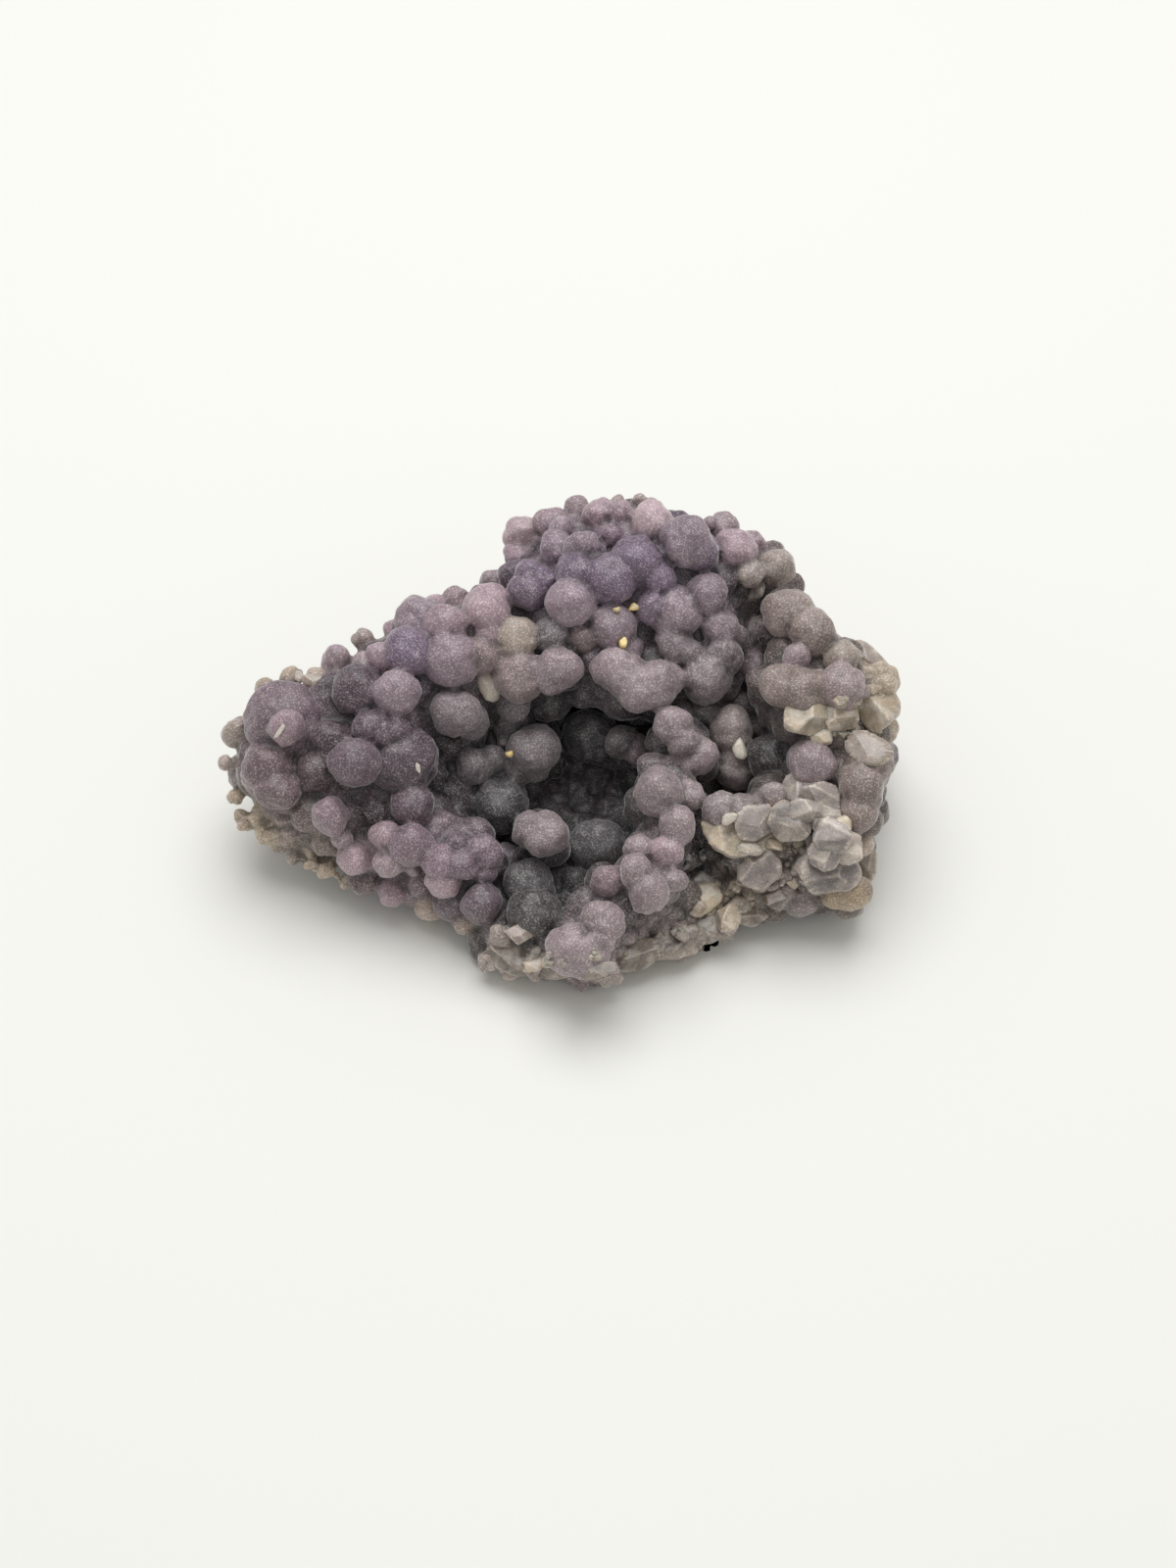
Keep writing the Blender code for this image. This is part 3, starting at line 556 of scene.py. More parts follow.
# Where the crust keeps to one look: sheet x, sheet y, reach in sheet units, look
zones = [
    (290, 740, 60, "plum"), (270, 790, 45, "ember"), (320, 800, 40, "ember"),
    (300, 865, 45, "sand"), (245, 830, 30, "sand"), (240, 745, 24, "sand"),
    (340, 885, 30, "sand"), (280, 698, 24, "sand"), (345, 680, 40, "lilac"),
    (400, 760, 60, "winePaintedShade"), (430, 650, 70, "violet"), (380, 870, 60, "rose"), (470, 880, 60, "plum"),
    (500, 640, 50, "rose"), (550, 560, 60, "violet"), (640, 580, 80, "violet"), (720, 560, 60, "violet"),
    (600, 520, 40, "rose"), (640, 650, 60, "lilac"), (700, 650, 60, "grey"), (790, 600, 50, "rust"),
    (480, 740, 60, "grey"), (530, 800, 70, "slate"), (600, 800, 90, "slate"), (620, 860, 60, "slate"),
    (790, 770, 40, "slatePaintedShade"), (745, 760, 40, "grey"), (680, 820, 60, "pink"), (650, 900, 50, "pink"),
    (590, 960, 40, "pink"), (540, 920, 50, "slate"), (820, 680, 60, "rust"), (880, 690, 50, "sand"),
    (870, 800, 50, "rust"), (780, 840, 60, "glass"), (850, 880, 50, "glass"), (760, 930, 50, "sand"),
    (680, 970, 50, "glass"), (520, 980, 40, "glass"),
]

# Painted shade in the dark gaps, hollows and crevices, where little light reaches: sheet x, sheet y,
# reach in sheet units
shadeGapsPainted = [
    (773, 622, 20), (782, 655, 24), (725, 868, 22), (668, 925, 18), (600, 800, 50), (585, 740, 22),
    (650, 730, 24), (640, 610, 12), (442, 795, 24), (375, 830, 20), (790, 800, 16),
    (545, 915, 34), (590, 940, 14),
]
# how dark the painted shade in the gaps is, in steps of shade
paintedGapShade = -1.4
paintedGapSpared = 0.8  # how far the shown grapes are spared by the painted shade in the gaps
zoneShare = 0.3  # how much of a grape's tint comes from its zone
plainShare = 0.02  # how much of the lilac look is everywhere


# The tint of the zones at some points, each a soft ball around a place on the crust
def zoneTints(points):
    total = np.full((len(points), 1), plainShare)
    tints = total * np.array(looks["lilac"])
    for x, y, reach, look in zones:
        gap = np.linalg.norm(points - np.array(onBody(x, y)), axis=1)[:, None] / (reach * sheet["unit"])
        weight = np.exp(-gap * gap)
        tints = tints + weight * np.array(looks[look])
        total = total + weight
    return tints / total


# Averages the values at the points of a mesh with those next to them
def spread(mesh, layers, turns):
    count = len(layers)
    edges = np.empty(len(mesh.edges) * 2, int)
    mesh.edges.foreach_get("vertices", edges)
    edges = edges.reshape(-1, 2)
    for turn in range(turns):
        total = layers.copy()
        weight = np.ones(count)
        for here, there in ((0, 1), (1, 0)):
            weight += np.bincount(edges[:, here], minlength=count)
            for layer in range(layers.shape[1]):
                total[:, layer] += np.bincount(edges[:, here], layers[edges[:, there], layer], count)
        layers = total / weight[:, None]
    return layers


fillPaintedShade = 1.6  # painted shade: how much darker the low grapes between the others are than the rest
# painted shade on the bare ground between the grapes
groundShade = -2.0
groundPaintedShadeTint = 0.3  # how much of the dark wine look of painted shade is in the ground's tint
rockShade = 0.3
bareFrom = 0.15 * mm  # how far from the nearest grape the ground's tint and its painted shade begin
bareWidth = 0.5 * mm  # and how much farther it is full
tintSeed = 5
tintTurns = 3  # how far the tints run into each other
batch = 8000  # points that are measured at a time
creaseTurns = 11  # how far around a point its creases are measured, for the painted shade in creases and painted light on crests
creaseDepth = 0.2 * mm  # how far a point lies under those around it where the painted shade of creases is full


# How near some points lie to places on the crust, from 0 to 1
def nearShare(points, spots):
    share = np.zeros(len(points))
    for x, y, reach in spots:
        gap = np.linalg.norm(points - np.array(onBody(x, y)), axis=1) / (reach * sheet["unit"])
        share = np.maximum(share, np.exp(-gap * gap))
    return share


def writeLayers(mesh, layers):
    for name, layer in zip(layerNames, layers):
        written = mesh.attributes.new(name, "FLOAT", "POINT")
        written.data.foreach_set("value", np.array(layer, np.float32))
    for face in mesh.polygons:
        face.use_smooth = True


def paintTints(mesh):
    count = len(mesh.vertices)
    points = np.empty(count * 3)
    mesh.vertices.foreach_get("co", points)
    points = points.reshape(-1, 3)
    middles = np.array([place[0][:] for place in placed])
    sizes = np.array([place[1] for place in placed])
    named = np.array([place[2] in looks for place in placed])
    tints = np.array([looks.get(place[2], (0,) * len(tintNames)) for place in placed])
    share = np.where(named, zoneShare, 1.0)[:, None]
    tints = tints * (1 - share) + zoneTints(middles) * share
    draw = np.random.default_rng(tintSeed)
    low = np.array([place[2] == "fill" for place in placed])
    # each grape's own random tone; the low fill grapes get painted shade
    shades = draw.uniform(0.0, 1.0, len(placed)) - low * fillPaintedShade
    shades += np.array([lookShades.get(place[2], 0.0) for place in placed])
    owner = np.empty(count, int)
    bare = np.empty(count)
    for start in range(0, count, batch):
        part = points[start:start + batch]
        gap = np.linalg.norm(part[:, None, :] - middles[None, :, :], axis=2) - sizes
        nearest = gap.argmin(axis=1)
        owner[start:start + batch] = nearest
        bare[start:start + batch] = gap[np.arange(len(part)), nearest]
    bare = np.clip((bare - bareFrom) / bareWidth, 0, 1)[:, None]
    # the bare ground between the grapes gets a dark tint and painted shade, lighter where it is rock
    ground = zoneTints(points) * (1 - groundPaintedShadeTint) + np.array(looks["winePaintedShade"]) * groundPaintedShadeTint
    rocky = np.minimum(grapes["rockFull"] * nearShare(points, grapes["rock"]), 1)
    groundShades = groundShade + (rockShade - groundShade) * rocky
    shade = shades[owner] * (1 - bare[:, 0]) + groundShades * bare[:, 0]
    # painted shade in the dark gaps, lighter on the shown grapes
    shade += paintedGapShade * nearShare(points, shadeGapsPainted) * (1 - paintedGapSpared * named[owner])
    layers = np.column_stack([tints[owner] * (1 - bare) + ground * bare, shade])
    layers = spread(mesh, layers, tintTurns)
    normals = np.empty(count * 3)
    mesh.vertices.foreach_get("normal", normals)
    # how far each point lies under those around it: painted shade where it lies in creases, painted light
    # where it stands on a crest
    sunk = ((spread(mesh, points, creaseTurns) - points) * normals.reshape(-1, 3)).sum(axis=1)
    creaseShadeCrestLight = np.clip(sunk / creaseDepth, -1, 1)
    writeLayers(mesh, [*layers.T, creaseShadeCrestLight, np.zeros(count)])


paintTints(skin)
print("painted the tints")


# Splits the triangles of a mesh from left to right into parts of one size, which keep its values
# and its shading at the seams
def split(mesh, names):
    count = len(mesh.vertices)
    points = np.empty(count * 3)
    mesh.vertices.foreach_get("co", points)
    normals = np.empty(count * 3)
    mesh.vertices.foreach_get("normal", normals)
    corners = np.empty(len(mesh.loops), int)
    mesh.loops.foreach_get("vertex_index", corners)
    points, normals, corners = points.reshape(-1, 3), normals.reshape(-1, 3), corners.reshape(-1, 3)
    layers = []
    for name in layerNames:
        values = np.empty(count)
        mesh.attributes[name].data.foreach_get("value", values)
        layers.append(values)
    order = np.argsort(points[corners, 0].mean(axis=1))
    made = []
    for name, chosen in zip(names, np.array_split(order, len(names))):
        kept, faces = np.unique(corners[chosen], return_inverse=True)
        part = bpy.data.meshes.new(name)
        part.from_pydata(points[kept].tolist(), [], faces.reshape(-1, 3).tolist())
        writeLayers(part, [values[kept] for values in layers])
        part.normals_split_custom_set_from_vertices(normals[kept].tolist())
        made.append(part)
    return made


# The broken crust: grapes and slabs with flat fresh faces
brokenCrust = {
    "noiseSize": 1.1 * mm,
    "noiseHeight": 0.12,  # a share of the size
    "chipSize": 0.9 * mm,
    "chipHeight": 0.05,  # unevenness of the fresh faces, a share of how far out they lie
    "swell": 1.15,
    "prouder": -0.1,
    "fineSize": 15,  # half widths from which a piece has its finest mesh
    "plainSize": 5,  # half widths up to which it has its plainest
    # side cuts: how far out they lie at the least and the most, and how much they lean
    "pieceCuts": (0.78, 0.95, 0.15),
    "crumbCuts": (0.5, 0.8, 0.6),
    "crumbSize": 16,
    # further fresh faces in front: how many, how much they lean, how much farther out they lie
    "frontCuts": (2, 0.7, 0.1),
    "cutStray": 0.3,  # how far a side cut may stray from its place, a share of the way to the next
    "cutNearest": 0.01,  # the least that a point lies toward a cut, a share of the depth
    "rimWidth": 0.09,
    "rimPale": 0.9,
    "rimShade": 1.5,
    "facetShades": (-0.7, 1.5),
    "seed": 21,
    # sheet x, sheet y, half width, half height, turn in degrees, rise, which way the fresh face
    # leans to the right and up, how far out it lies, side cuts, look of the face, look of the rest
    "pieces": [
        # the lower right
        (744, 851, 28, 19, -30, 0.6, -0.1, 0.35, 0.45, 4, "cream", "milk"),
        (770, 838, 20, 18, 0, 0.5, 0.1, 0.25, 0.35, 5, "ice", "glass"),
        (806, 838, 21, 20, 0, 0.5, 0.0, 0.3, 0.35, 5, "glass", "milk"),
        (818, 804, 19, 18, 20, 0.4, 0.1, 0.4, 0.4, 5, "ice", "glass"),
        (836, 817, 20, 20, -20, 0.45, 0.3, 0.2, 0.4, 5, "ice", "glass"),
        (820, 827, 17, 12, 10, 0.9, -0.1, 0.3, 0.4, 4, "glass", "milk"),
        (843, 838, 15, 17, 0, 0.5, 0.3, 0.1, 0.4, 5, "ice", "glass"),
        # the white chip below is a painted highlight on the cream crystal
        (743, 835, 9, 6, 15, 1.6, -0.1, 0.4, 0.4, 4, "white", "cream"),
        (787, 861, 12, 7, -10, 1.3, 0.1, 0.5, 0.4, 4, "cream", "milk"),
        (760, 862, 17, 8, -25, 0.9, 0.0, 0.5, 0.4, 4, "milk", "glass"),
        (776, 858, 17, 11, 10, 0.5, 0.0, 0.6, 0.3, 3, "cream", "milk"),
        (772, 885, 22, 19, 0, 0.5, 0.0, -0.05, 0.35, 2, "ice", "glass"),
        (848, 853, 18, 18, 12, 0.6, -0.2, 0.3, 0.4, 5, "ice", "glass"),
        (840, 872, 17, 16, 40, 0.5, -0.2, 0.1, 0.4, 5, "ice", "milk"),
        (864, 864, 16, 17, 0, 0.5, 0.2, 0.3, 0.4, 5, "glass", "milk"),
        (846, 888, 30, 24, 10, 0.35, 0.1, 0.2, 0.4, 4, "ice", "glass"),
        (879, 876, 14, 26, 0, 0.3, 0.3, 0.1, 0.4, 4, "milk", "milk"),
        (859, 846, 14, 13, 0, 0.8, 0.3, 0.3, 0.3, 4, "cream", "milk"),
        (826, 891, 8, 13, 10, 0.6, 0.2, 0.2, 0.2, 4, "cream", "milk"),
        (810, 900, 11, 9, 30, 0.6, -0.1, 0.4, 0.2, 4, "cream", "glass"),
        (838, 830, 10, 16, -10, 0.3, 0.2, 0.2, 0.3, 4, "ice", "glass"),
        (716, 900, 16, 14, 0, 0.5, 0.0, 0.3, 0.35, 5, "glass", "milk"),
        # the rim on the right
        (822, 731, 22, 21, 0, 1.0, -0.2, 0.4, 0.4, 4, "cream", "milk"),
        # the white chip below is a painted highlight on the cream chip
        (827, 735, 8, 6, 20, 2.4, -0.1, 0.4, 0.4, 4, "white", "cream"),
        (834, 750, 15, 12, 0, 1.2, 0.0, 0.5, 0.3, 4, "cream", "milk"),
        (856, 730, 18, 15, 0, 0.8, 0.1, 0.4, 0.4, 4, "sand", "milk"),
        (884, 763, 25, 15, -25, 0.3, 0.0, 0.5, 0.15, 3, "glass", "milk"),
        (893, 716, 22, 30, 10, 0.1, 0.35, 0.5, 0.5, 5, "sand", "glass"),
        (885, 672, 26, 12, -35, 0.2, 0.4, 0.5, 0.4, 4, "glass", "glass"),
        # the top right
        (771, 603, 8, 14, -10, 0.6, -0.2, 0.2, 0.3, 4, "glass", "glass"),
        # the flat chips on the crust
        (499, 701, 9, 17, 22, 0.6, 0.2, 0.1, 0.15, 3, "white", "white"),
        (755, 764, 7, 11, 10, 1.0, 0.0, 0.2, 0.3, 3, "white", "white"),
        (530, 952, 16, 13, 20, 0.2, -0.1, 0.4, 0.4, 4, "glass", "glass"),
        (320, 695, 19, 6, -5, 0.5, 0.0, 0.7, 0.3, 3, "milk", "glass"),
        (305, 689, 5, 7, 0, 0.5, 0.0, 0.4, 0.3, 3, "glass", "glass"),
        # the front edge
        (676, 960, 11, 16, -15, 1.0, -0.1, 0.2, 0.2, 4, "ice", "milk"),
        (545, 985, 14, 7, 15, 0.4, 0.0, 0.6, 0.2, 4, "cream", "glass"),
        (642, 975, 34, 15, 12, 0.2, 0.0, 0.5, 0.5, 4, "drab", "drab"),
        (692, 960, 32, 16, 14, 0.2, 0.0, 0.5, 0.5, 5, "drab", "drab"),
        (722, 948, 20, 13, 20, 0.3, 0.1, 0.4, 0.5, 5, "drab", "glass"),
        (742, 936, 16, 14, 30, 0.5, 0.2, 0.3, 0.4, 5, "sand", "glass"),
        (754, 922, 14, 12, 0, 0.5, -0.2, 0.5, 0.4, 5, "milk", "glass"),
        (768, 932, 18, 12, 26, 0.3, 0.1, 0.4, 0.4, 5, "drab", "glass"),
        (790, 918, 16, 11, 26, 0.3, 0.1, 0.4, 0.4, 5, "drab", "glass"),
        (716, 918, 20, 14, 30, 0.4, -0.1, 0.5, 0.4, 4, "cream", "milk"),
        (520, 978, 26, 15, -14, 0.3, -0.1, 0.4, 0.5, 4, "drab", "drab"),
        (560, 987, 26, 11, -4, 0.1, 0.0, 0.4, 0.5, 4, "drab", "drab"),
        (606, 990, 26, 9, 4, -0.1, 0.0, 0.4, 0.5, 4, "drab", "drab"),
        # a scratch, flecks and ochre grains
        (286, 746, 9, 2, 55, 1.5, 0.0, 0.1, 0.4, 2, "white", "white"),
        (427, 784, 2, 6, 10, 2.0, 0.0, 0.1, 0.4, 2, "white", "white"),
        (629, 622, 4, 3, 0, 1.5, 0.0, 0.4, 0.4, 3, "gold", "gold"),
        (647, 620, 7, 4, 30, 1.5, 0.0, 0.4, 0.4, 3, "gold", "gold"),
        (636, 656, 4, 6, 0, 1.5, 0.0, 0.4, 0.4, 3, "gold", "gold"),
        (520, 769, 4, 4, 0, 1.5, 0.0, 0.4, 0.4, 3, "gold", "gold"),
    ],
    # the ranges that a crumb's entry is drawn from, in the order of an entry above
    "crumbRanges": {
        "shortness": (0.6, 1.0),  # its height as a share of its width
        "turn": (-60, 60), "rise": (0.0, 0.5), "leanRight": (-0.4, 0.4), "leanUp": (0.0, 0.6),
        "reach": (0.2, 0.5),
    },
    "crumbSideCuts": 6,
    # crumbs: sheet x, sheet y, half width and half height of the patch, how many, the smallest
    # and largest half width, look of the faces, look of the rest
    "crumbs": [
        # the white crumbs at sheet x 800 are painted glints in the dark pit
        (810, 868, 26, 16, 26, 3, 7, "glass", "milk"), (800, 870, 12, 8, 6, 1.5, 2.5, "white", "white"),
        (840, 880, 24, 30, 14, 5, 10, "ice", "milk"), (780, 850, 40, 20, 14, 4, 9, "cream", "glass"),
        (875, 735, 28, 26, 30, 4, 10, "sand", "glass"), (742, 920, 30, 18, 34, 4, 9, "sand", "milk"),
        (690, 962, 40, 14, 26, 4, 10, "glass", "sand"), (545, 980, 36, 12, 22, 4, 9, "glass", "sand"),
        (640, 977, 40, 9, 18, 4, 9, "sand", "glass"), (790, 895, 40, 10, 16, 4, 8, "glass", "sand"),
        (720, 880, 24, 12, 10, 4, 8, "slate", "sand"),
    ],
}


# A squashed ball cut by planes, with the tints, shade and freshness of each of its points
def brokenPiece(entry, draw):
    x, y, halfWide, halfHigh, turn, rise, leanRight, leanUp, reach, sideCuts, faceLook, restLook = entry
    largest = max(halfWide, halfHigh)
    least, most, tilt = brokenCrust["crumbCuts" if largest <= brokenCrust["crumbSize"] else "pieceCuts"]
    detail = 4 if largest >= brokenCrust["fineSize"] else 2 if largest <= brokenCrust["plainSize"] else 3
    sight = sightLine(x, y)
    hit = skinTree.ray_cast(eye, sight)[0] or nearestOnLine(sight)
    scale = sheet["unit"] * (hit - eye).length / sheet["eyeDistance"] * brokenCrust["swell"]
    wide, high = halfWide * scale, halfHigh * scale
    deep = min(wide, high)
    turned = math.radians(turn)
    along = rightward * math.cos(turned) + upward * math.sin(turned)
    across = upward * math.cos(turned) - rightward * math.sin(turned)
    middle = hit + outward * (deep * (rise + brokenCrust["prouder"]))
    points, faces = balls[detail]
    points = points * (wide, high, deep) @ np.array([along, across, outward])
    places = [middle + Vector(point) for point in points]
    bulge = np.array([noise.noise(place / brokenCrust["noiseSize"]) for place in places])
    points = points * (1 + brokenCrust["noiseHeight"] * bulge)[:, None]
    chips = np.array([noise.noise(place / brokenCrust["chipSize"]) for place in places])
    chips = 1 + brokenCrust["chipHeight"] * chips
    cuts = [((outward + rightward * leanRight + upward * leanUp).normalized(), deep * reach)]
    frontCount, lean, farther = brokenCrust["frontCuts"]
    for cut in range(frontCount if min(halfWide, halfHigh) > brokenCrust["plainSize"] else 0):
        leaning = outward + rightward * draw.uniform(-lean, lean) + upward * draw.uniform(-lean, lean)
        cuts.append((leaning.normalized(), deep * (reach + farther)))
    stray = brokenCrust["cutStray"]
    for side in range(sideCuts):
        angle = 2 * math.pi * (side + draw.uniform(-stray, stray)) / sideCuts
        sideways = along * math.cos(angle) + across * math.sin(angle)
        length = math.hypot(wide * math.cos(angle), high * math.sin(angle)) * draw.uniform(least, most)
        cuts.append(((sideways + outward * draw.uniform(-tilt, tilt)).normalized(), length))
    # the share of its way out at which each point meets each cut
    shares = [np.ones(len(points))]
    for normal, distance in cuts:
        forward = np.maximum(points @ np.array(normal), brokenCrust["cutNearest"] * deep)
        shares.append(distance * chips / forward)
    shares = np.array(shares)
    nearest, second = np.sort(shares, axis=0)[:2]
    facet = shares.argmin(axis=0)
    points = np.array(middle) + points * nearest[:, None]
    points[:, 2] = np.maximum(points[:, 2], 0.0)
    fresh = facet > 0
    tints = np.where(fresh[:, None], looks[faceLook], looks[restLook])
    rim = np.clip(1 - (second / nearest - 1) / brokenCrust["rimWidth"], 0, 1) * brokenCrust["rimPale"]
    pale = tintNames.index("pale")
    tints[:, pale] = np.maximum(tints[:, pale], rim)
    facetShades = np.array([draw.uniform(*brokenCrust["facetShades"]) for share in shares])
    facetShades += lookShades.get(faceLook, 0.0)
    shade = facetShades[facet] + brokenCrust["rimShade"] * rim
    return points, faces, np.column_stack([tints, shade, np.zeros(len(points)), fresh])


def crumbEntries(draw):
    entries = []
    for x, y, wide, high, count, smallest, largest, faceLook, restLook in brokenCrust["crumbs"]:
        for crumb in range(count):
            angle = draw.uniform(0, 2 * math.pi)
            away = math.sqrt(draw.random())
            size = draw.uniform(smallest, largest)
            ranges = brokenCrust["crumbRanges"].values()
            shortness, *placing = [draw.uniform(*limits) for limits in ranges]
            place = (x + wide * away * math.cos(angle), y + high * away * math.sin(angle))
            finish = (brokenCrust["crumbSideCuts"], faceLook, restLook)
            entries.append((*place, size, size * shortness, *placing, *finish))
    return entries


def makeBroken(name, entries, draw):
    pile = Pile()
    values = []
    for entry in entries:
        points, faces, newValues = brokenPiece(entry, draw)
        pile.add(points, faces)
        values.append(newValues)
    mesh = pile.mesh(name)
    writeLayers(mesh, np.concatenate(values).T)
    return mesh


skinShell = bmesh.new()
skinShell.from_mesh(skin)
skinTree = BVHTree.FromBMesh(skinShell)
skinShell.free()
draw = random.Random(brokenCrust["seed"])
broken = makeBroken("brokenCrust", brokenCrust["pieces"], draw)
crumbs = makeBroken("brokenCrumbs", crumbEntries(draw), draw)
print("broke the crust,", len(broken.polygons), "and", len(crumbs.polygons), "triangles")


# A material's node tree, or one output socket in it. Plain arithmetic on it adds Math nodes.
class Shade:
    def __init__(self, tree, socket=None):
        self.tree = tree
        self.socket = socket

    def node(self, kind, settings, inputs, output=0):
        made = self.tree.nodes.new(kind)
        for name, value in settings.items():
            setattr(made, name, value)
        for name, value in inputs.items():
            if isinstance(value, Shade):
                self.tree.links.new(value.socket, made.inputs[name])
            else:
                made.inputs[name].default_value = value
        return Shade(self.tree, made.outputs[output])

    def math(self, operation, first, second=0.0, clamp=False):
        settings = {"operation": operation, "use_clamp": clamp}
        return self.node("ShaderNodeMath", settings, {0: first, 1: second})

    def __add__(self, other):
        return self.math("ADD", self, other)

    def __radd__(self, other):
        return self.math("ADD", other, self)

    def __sub__(self, other):
        return self.math("SUBTRACT", self, other)

    def __rsub__(self, other):
        return self.math("SUBTRACT", other, self)

    def __mul__(self, other):
        return self.math("MULTIPLY", self, other)

    def __rmul__(self, other):
        return self.math("MULTIPLY", other, self)

    def clamped(self):
        return self.math("ADD", self, 0.0, clamp=True)

    def attribute(self, name):
        return self.node("ShaderNodeAttribute", {"attribute_name": name}, {}, "Fac")

    # The two colours go into a Mix node at its sockets 6 and 7, and out of it at 2
    def blend(self, factor, first, second, kind="MIX"):
        settings = {"data_type": "RGBA", "blend_type": kind}
        return self.node("ShaderNodeMix", settings, {0: factor, 6: first, 7: second}, 2)

    def noise(self, place, size, detail):
        inputs = {"Vector": place, "Scale": 1 / size, "Detail": detail}
        return self.node("ShaderNodeTexNoise", {}, inputs, "Fac")

    # Rises softly from 0 to 1 between two values
    def stretch(self, value, low, high):
        inputs = {"Value": value, "From Min": low, "From Max": high}
        return self.node("ShaderNodeMapRange", {"interpolation_type": "SMOOTHSTEP"}, inputs)


# A colour by its three screen values from 0 to 255, turned into light by the usual screen curve
def screenColour(red, green, blue):
    shares = [value / 255 for value in (red, green, blue)]
    linear = [part / 12.92 if part < 0.04045 else ((part + 0.055) / 1.055) ** 2.4 for part in shares]
    return (*linear, 1.0)


stone = {
    "base": screenColour(160, 143, 153),
    "violet": screenColour(117, 97, 123),
    "wine": screenColour(123, 96, 111),
    "rose": screenColour(184, 156, 168),
    "slate": screenColour(97, 97, 101),
    "sand": screenColour(163, 147, 122),
    "pale": screenColour(192, 183, 170),
    "ochre": screenColour(224, 190, 122),
    "roughness": 0.5,
    "scatter": 0.5,
    "scatterRadius": (1.0, 0.75, 0.9),
    "scatterScale": 0.8 * mm,
    "sheen": 1.0,
    "sheenRoughness": 0.25,
    "coat": 0.35,
    "coatRoughness": 0.35,
    "freshRoughness": 0.2,
    # painted shade in the creases between the grapes and painted light on their crests
    "creaseShadePainted": 0.6,
    "crestLightPainted": 0.12,
    "bright": 0.6,  # of a stone with no shade of its own
    "shadeBright": 0.25,  # for each step of shade
    # noises, by size and detail
    "cloud": (2.0 * mm, 4.0),
    "frost": (0.14 * mm, 2.0),
    "drift": (mm / 0.9, 3.0),
    "veins": (1.25 * mm, 5.0),
    "cloudBright": 0.5,
    "cloudFresh": 1.2,  # how much stronger the clouds are on fresh faces
    "frostLimits": (0.46, 0.7),  # the noise where the frost begins and is full
    "frostBright": 0.6,
    "frostPale": 0.4,
    "frostRough": 0.5,
    "frostBump": 0.06 * mm,
    "frostBumpStrength": 0.6,
    "freshSmooth": 0.6,  # how much frost the fresh faces lack
    "speckSize": 0.28 * mm,
    "speckReach": 0.34,
    "speckSoft": 0.2,
    "speckBright": 0.3,
    "driftShare": 0.5,  # how much the specks come and go with the drift
    "veinLimits": (0.5, 0.62),
    "veinPale": 0.7,
}

noiseMiddle = 0.5


def stoneMaterial():
    material = bpy.data.materials.new("frostedChalcedony")
    material.use_nodes = True
    tree = material.node_tree
    surface = tree.nodes["Principled BSDF"]
    paint = Shade(tree)
    place = paint.node("ShaderNodeTexCoord", {}, {}, "Object")
    colour = paint.blend(paint.attribute("violet"), stone["base"], stone["violet"])
    for name in tintNames[1:]:
        colour = paint.blend(paint.attribute(name).clamped(), colour, stone[name])
    cloud, frost, drift, veins = [
        paint.noise(place, *stone[name]) for name in ("cloud", "frost", "drift", "veins")]
    cells = {"Vector": place, "Scale": 1 / stone["speckSize"]}
    bits = paint.node("ShaderNodeTexVoronoi", {}, cells, "Distance")
    specks = stone["speckReach"] - bits + stone["driftShare"] * (drift - noiseMiddle)
    specks = paint.stretch(specks, 0.0, stone["speckSoft"])
    fresh = paint.attribute("fresh")
    frosted = 1 - stone["freshSmooth"] * fresh
    grain = paint.stretch(frost, *stone["frostLimits"]) * frosted
    colour = paint.blend(grain * stone["frostPale"], colour, stone["pale"])
    veined = fresh * paint.stretch(veins, *stone["veinLimits"]) * stone["veinPale"]
    colour = paint.blend(veined, colour, stone["pale"])
    bright = stone["bright"] + stone["shadeBright"] * paint.attribute("shade")
    bright = bright + (stone["cloudBright"] + stone["cloudFresh"] * fresh) * (cloud - noiseMiddle)
    bright = bright + (stone["frostBright"] * grain + stone["speckBright"] * specks * frosted)
    # painted shade in the creases and painted light on the crests
    creaseShadeCrestLight = paint.attribute("creaseShadeCrestLight")
    sunk = 1 - stone["creaseShadePainted"] * creaseShadeCrestLight.clamped()
    bright = bright * (sunk + stone["crestLightPainted"] * (0 - creaseShadeCrestLight).clamped())
    grey = paint.node("ShaderNodeCombineColor", {}, {0: bright, 1: bright, 2: bright})
    colour = paint.blend(1.0, colour, grey, "MULTIPLY")
    bumpInputs = {
        "Strength": stone["frostBumpStrength"], "Distance": stone["frostBump"], "Height": frost * frosted}
    bump = paint.node("ShaderNodeBump", {}, bumpInputs, "Normal")
    tree.links.new(colour.socket, surface.inputs["Base Color"])
    tree.links.new(bump.socket, surface.inputs["Normal"])
    rough = stone["roughness"] - (stone["roughness"] - stone["freshRoughness"]) * fresh
    rough = rough + stone["frostRough"] * (frost - noiseMiddle)
    tree.links.new(rough.clamped().socket, surface.inputs["Roughness"])
    surface.inputs["Subsurface Weight"].default_value = stone["scatter"]
    surface.inputs["Subsurface Radius"].default_value = stone["scatterRadius"]
    surface.inputs["Subsurface Scale"].default_value = stone["scatterScale"]
    surface.inputs["Sheen Weight"].default_value = stone["sheen"]
    surface.inputs["Sheen Roughness"].default_value = stone["sheenRoughness"]
    surface.inputs["Coat Weight"].default_value = stone["coat"]
    surface.inputs["Coat Roughness"].default_value = stone["coatRoughness"]
    return material


chalcedony = stoneMaterial()
for mesh in split(skin, grapes["parts"]) + [broken, crumbs]:
    mesh.materials.clear()
    mesh.materials.append(chalcedony)
    piece = bpy.data.objects.new(mesh.name, mesh)
    bpy.context.scene.collection.objects.link(piece)
    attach(piece, "root")
    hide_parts("grape_agate")

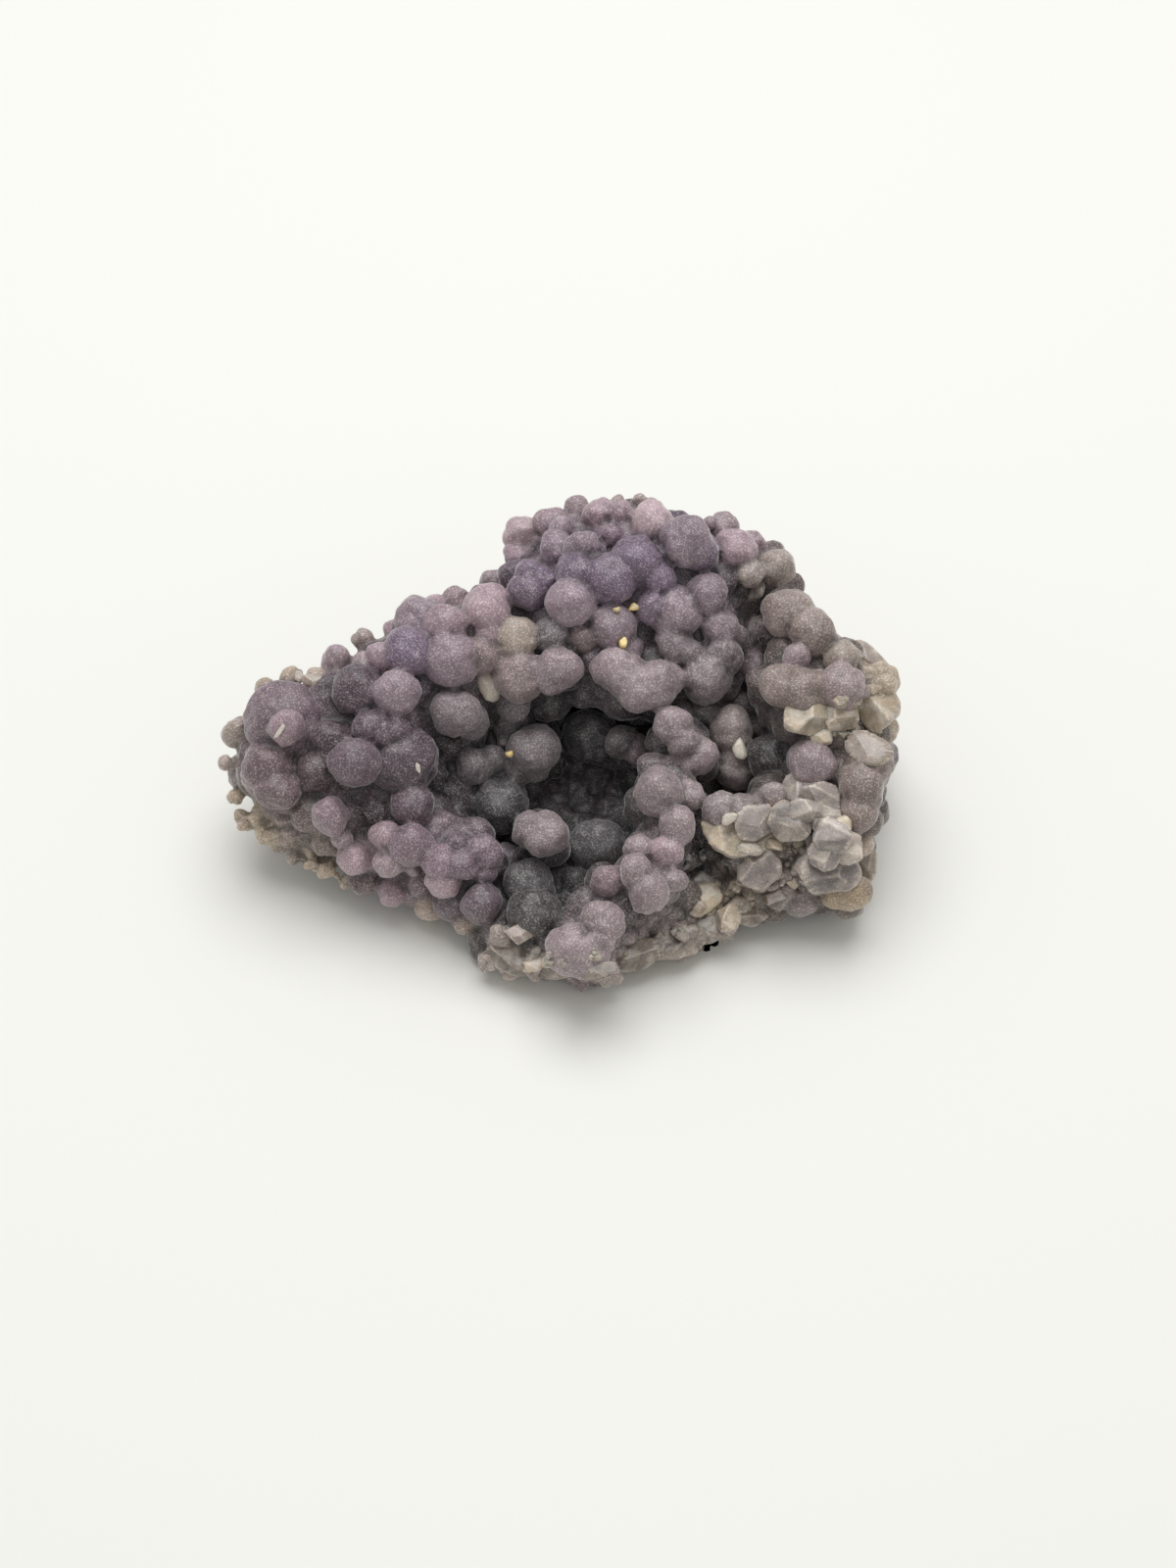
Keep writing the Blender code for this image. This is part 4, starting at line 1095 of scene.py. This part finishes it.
# The table and the light
setting = {
    "floorHalf": 1.2,
    "floorColour": screenColour(243, 243, 238),
    "floorRoughness": 0.6,
    "overheadPower": 1.9,
    "overheadSize": 0.5,
    "overheadPlace": (0.0, 0.15, 0.5),
    "skyColour": (1.0, 1.0, 0.985, 1.0),
    "skyStrength": 0.5,
    "filmWidth": 36,  # of the camera, in mm
    "nearest": 5 * mm,  # what lies nearer to the camera is left out
}


def makeFloor():
    mesh = bpy.data.meshes.new("tableTop")
    half = setting["floorHalf"]
    corners = [(-half, -half, 0), (half, -half, 0), (half, half, 0), (-half, half, 0)]
    mesh.from_pydata(corners, [], [(0, 1, 2, 3)])
    material = bpy.data.materials.new("paleTable")
    material.use_nodes = True
    surface = material.node_tree.nodes["Principled BSDF"]
    surface.inputs["Base Color"].default_value = setting["floorColour"]
    surface.inputs["Roughness"].default_value = setting["floorRoughness"]
    mesh.materials.append(material)
    floor = bpy.data.objects.new("tableTop", mesh)
    bpy.context.scene.collection.objects.link(floor)


def makeLight():
    lamp = bpy.data.lights.new("overhead", "AREA")
    lamp.shape = "DISK"
    lamp.size = setting["overheadSize"]
    lamp.energy = setting["overheadPower"]
    holder = bpy.data.objects.new("overhead", lamp)
    holder.location = setting["overheadPlace"]
    aim = sheet["spot"] - holder.location
    holder.rotation_euler = aim.to_track_quat("-Z", "Y").to_euler()
    bpy.context.scene.collection.objects.link(holder)
    world = bpy.data.worlds.new("softRoom")
    world.use_nodes = True
    world.node_tree.nodes["Background"].inputs["Color"].default_value = setting["skyColour"]
    world.node_tree.nodes["Background"].inputs["Strength"].default_value = setting["skyStrength"]
    bpy.context.scene.world = world
    bpy.context.scene.view_settings.view_transform = "Standard"


def makeCamera():
    lens = bpy.data.cameras.new("sheetView")
    lens.sensor_width = setting["filmWidth"]
    lens.lens = lens.sensor_width * sheet["eyeDistance"] / (sheet["height"] * sheet["unit"])
    lens.clip_start = setting["nearest"]
    holder = bpy.data.objects.new("sheetView", lens)
    rows = [(rightward[row], upward[row], outward[row], eye[row]) for row in range(3)]
    holder.matrix_world = Matrix([*rows, (0, 0, 0, 1)])
    bpy.context.scene.collection.objects.link(holder)
    bpy.context.scene.camera = holder


makeFloor()
makeLight()
makeCamera()
print("set the table, the light and the camera")
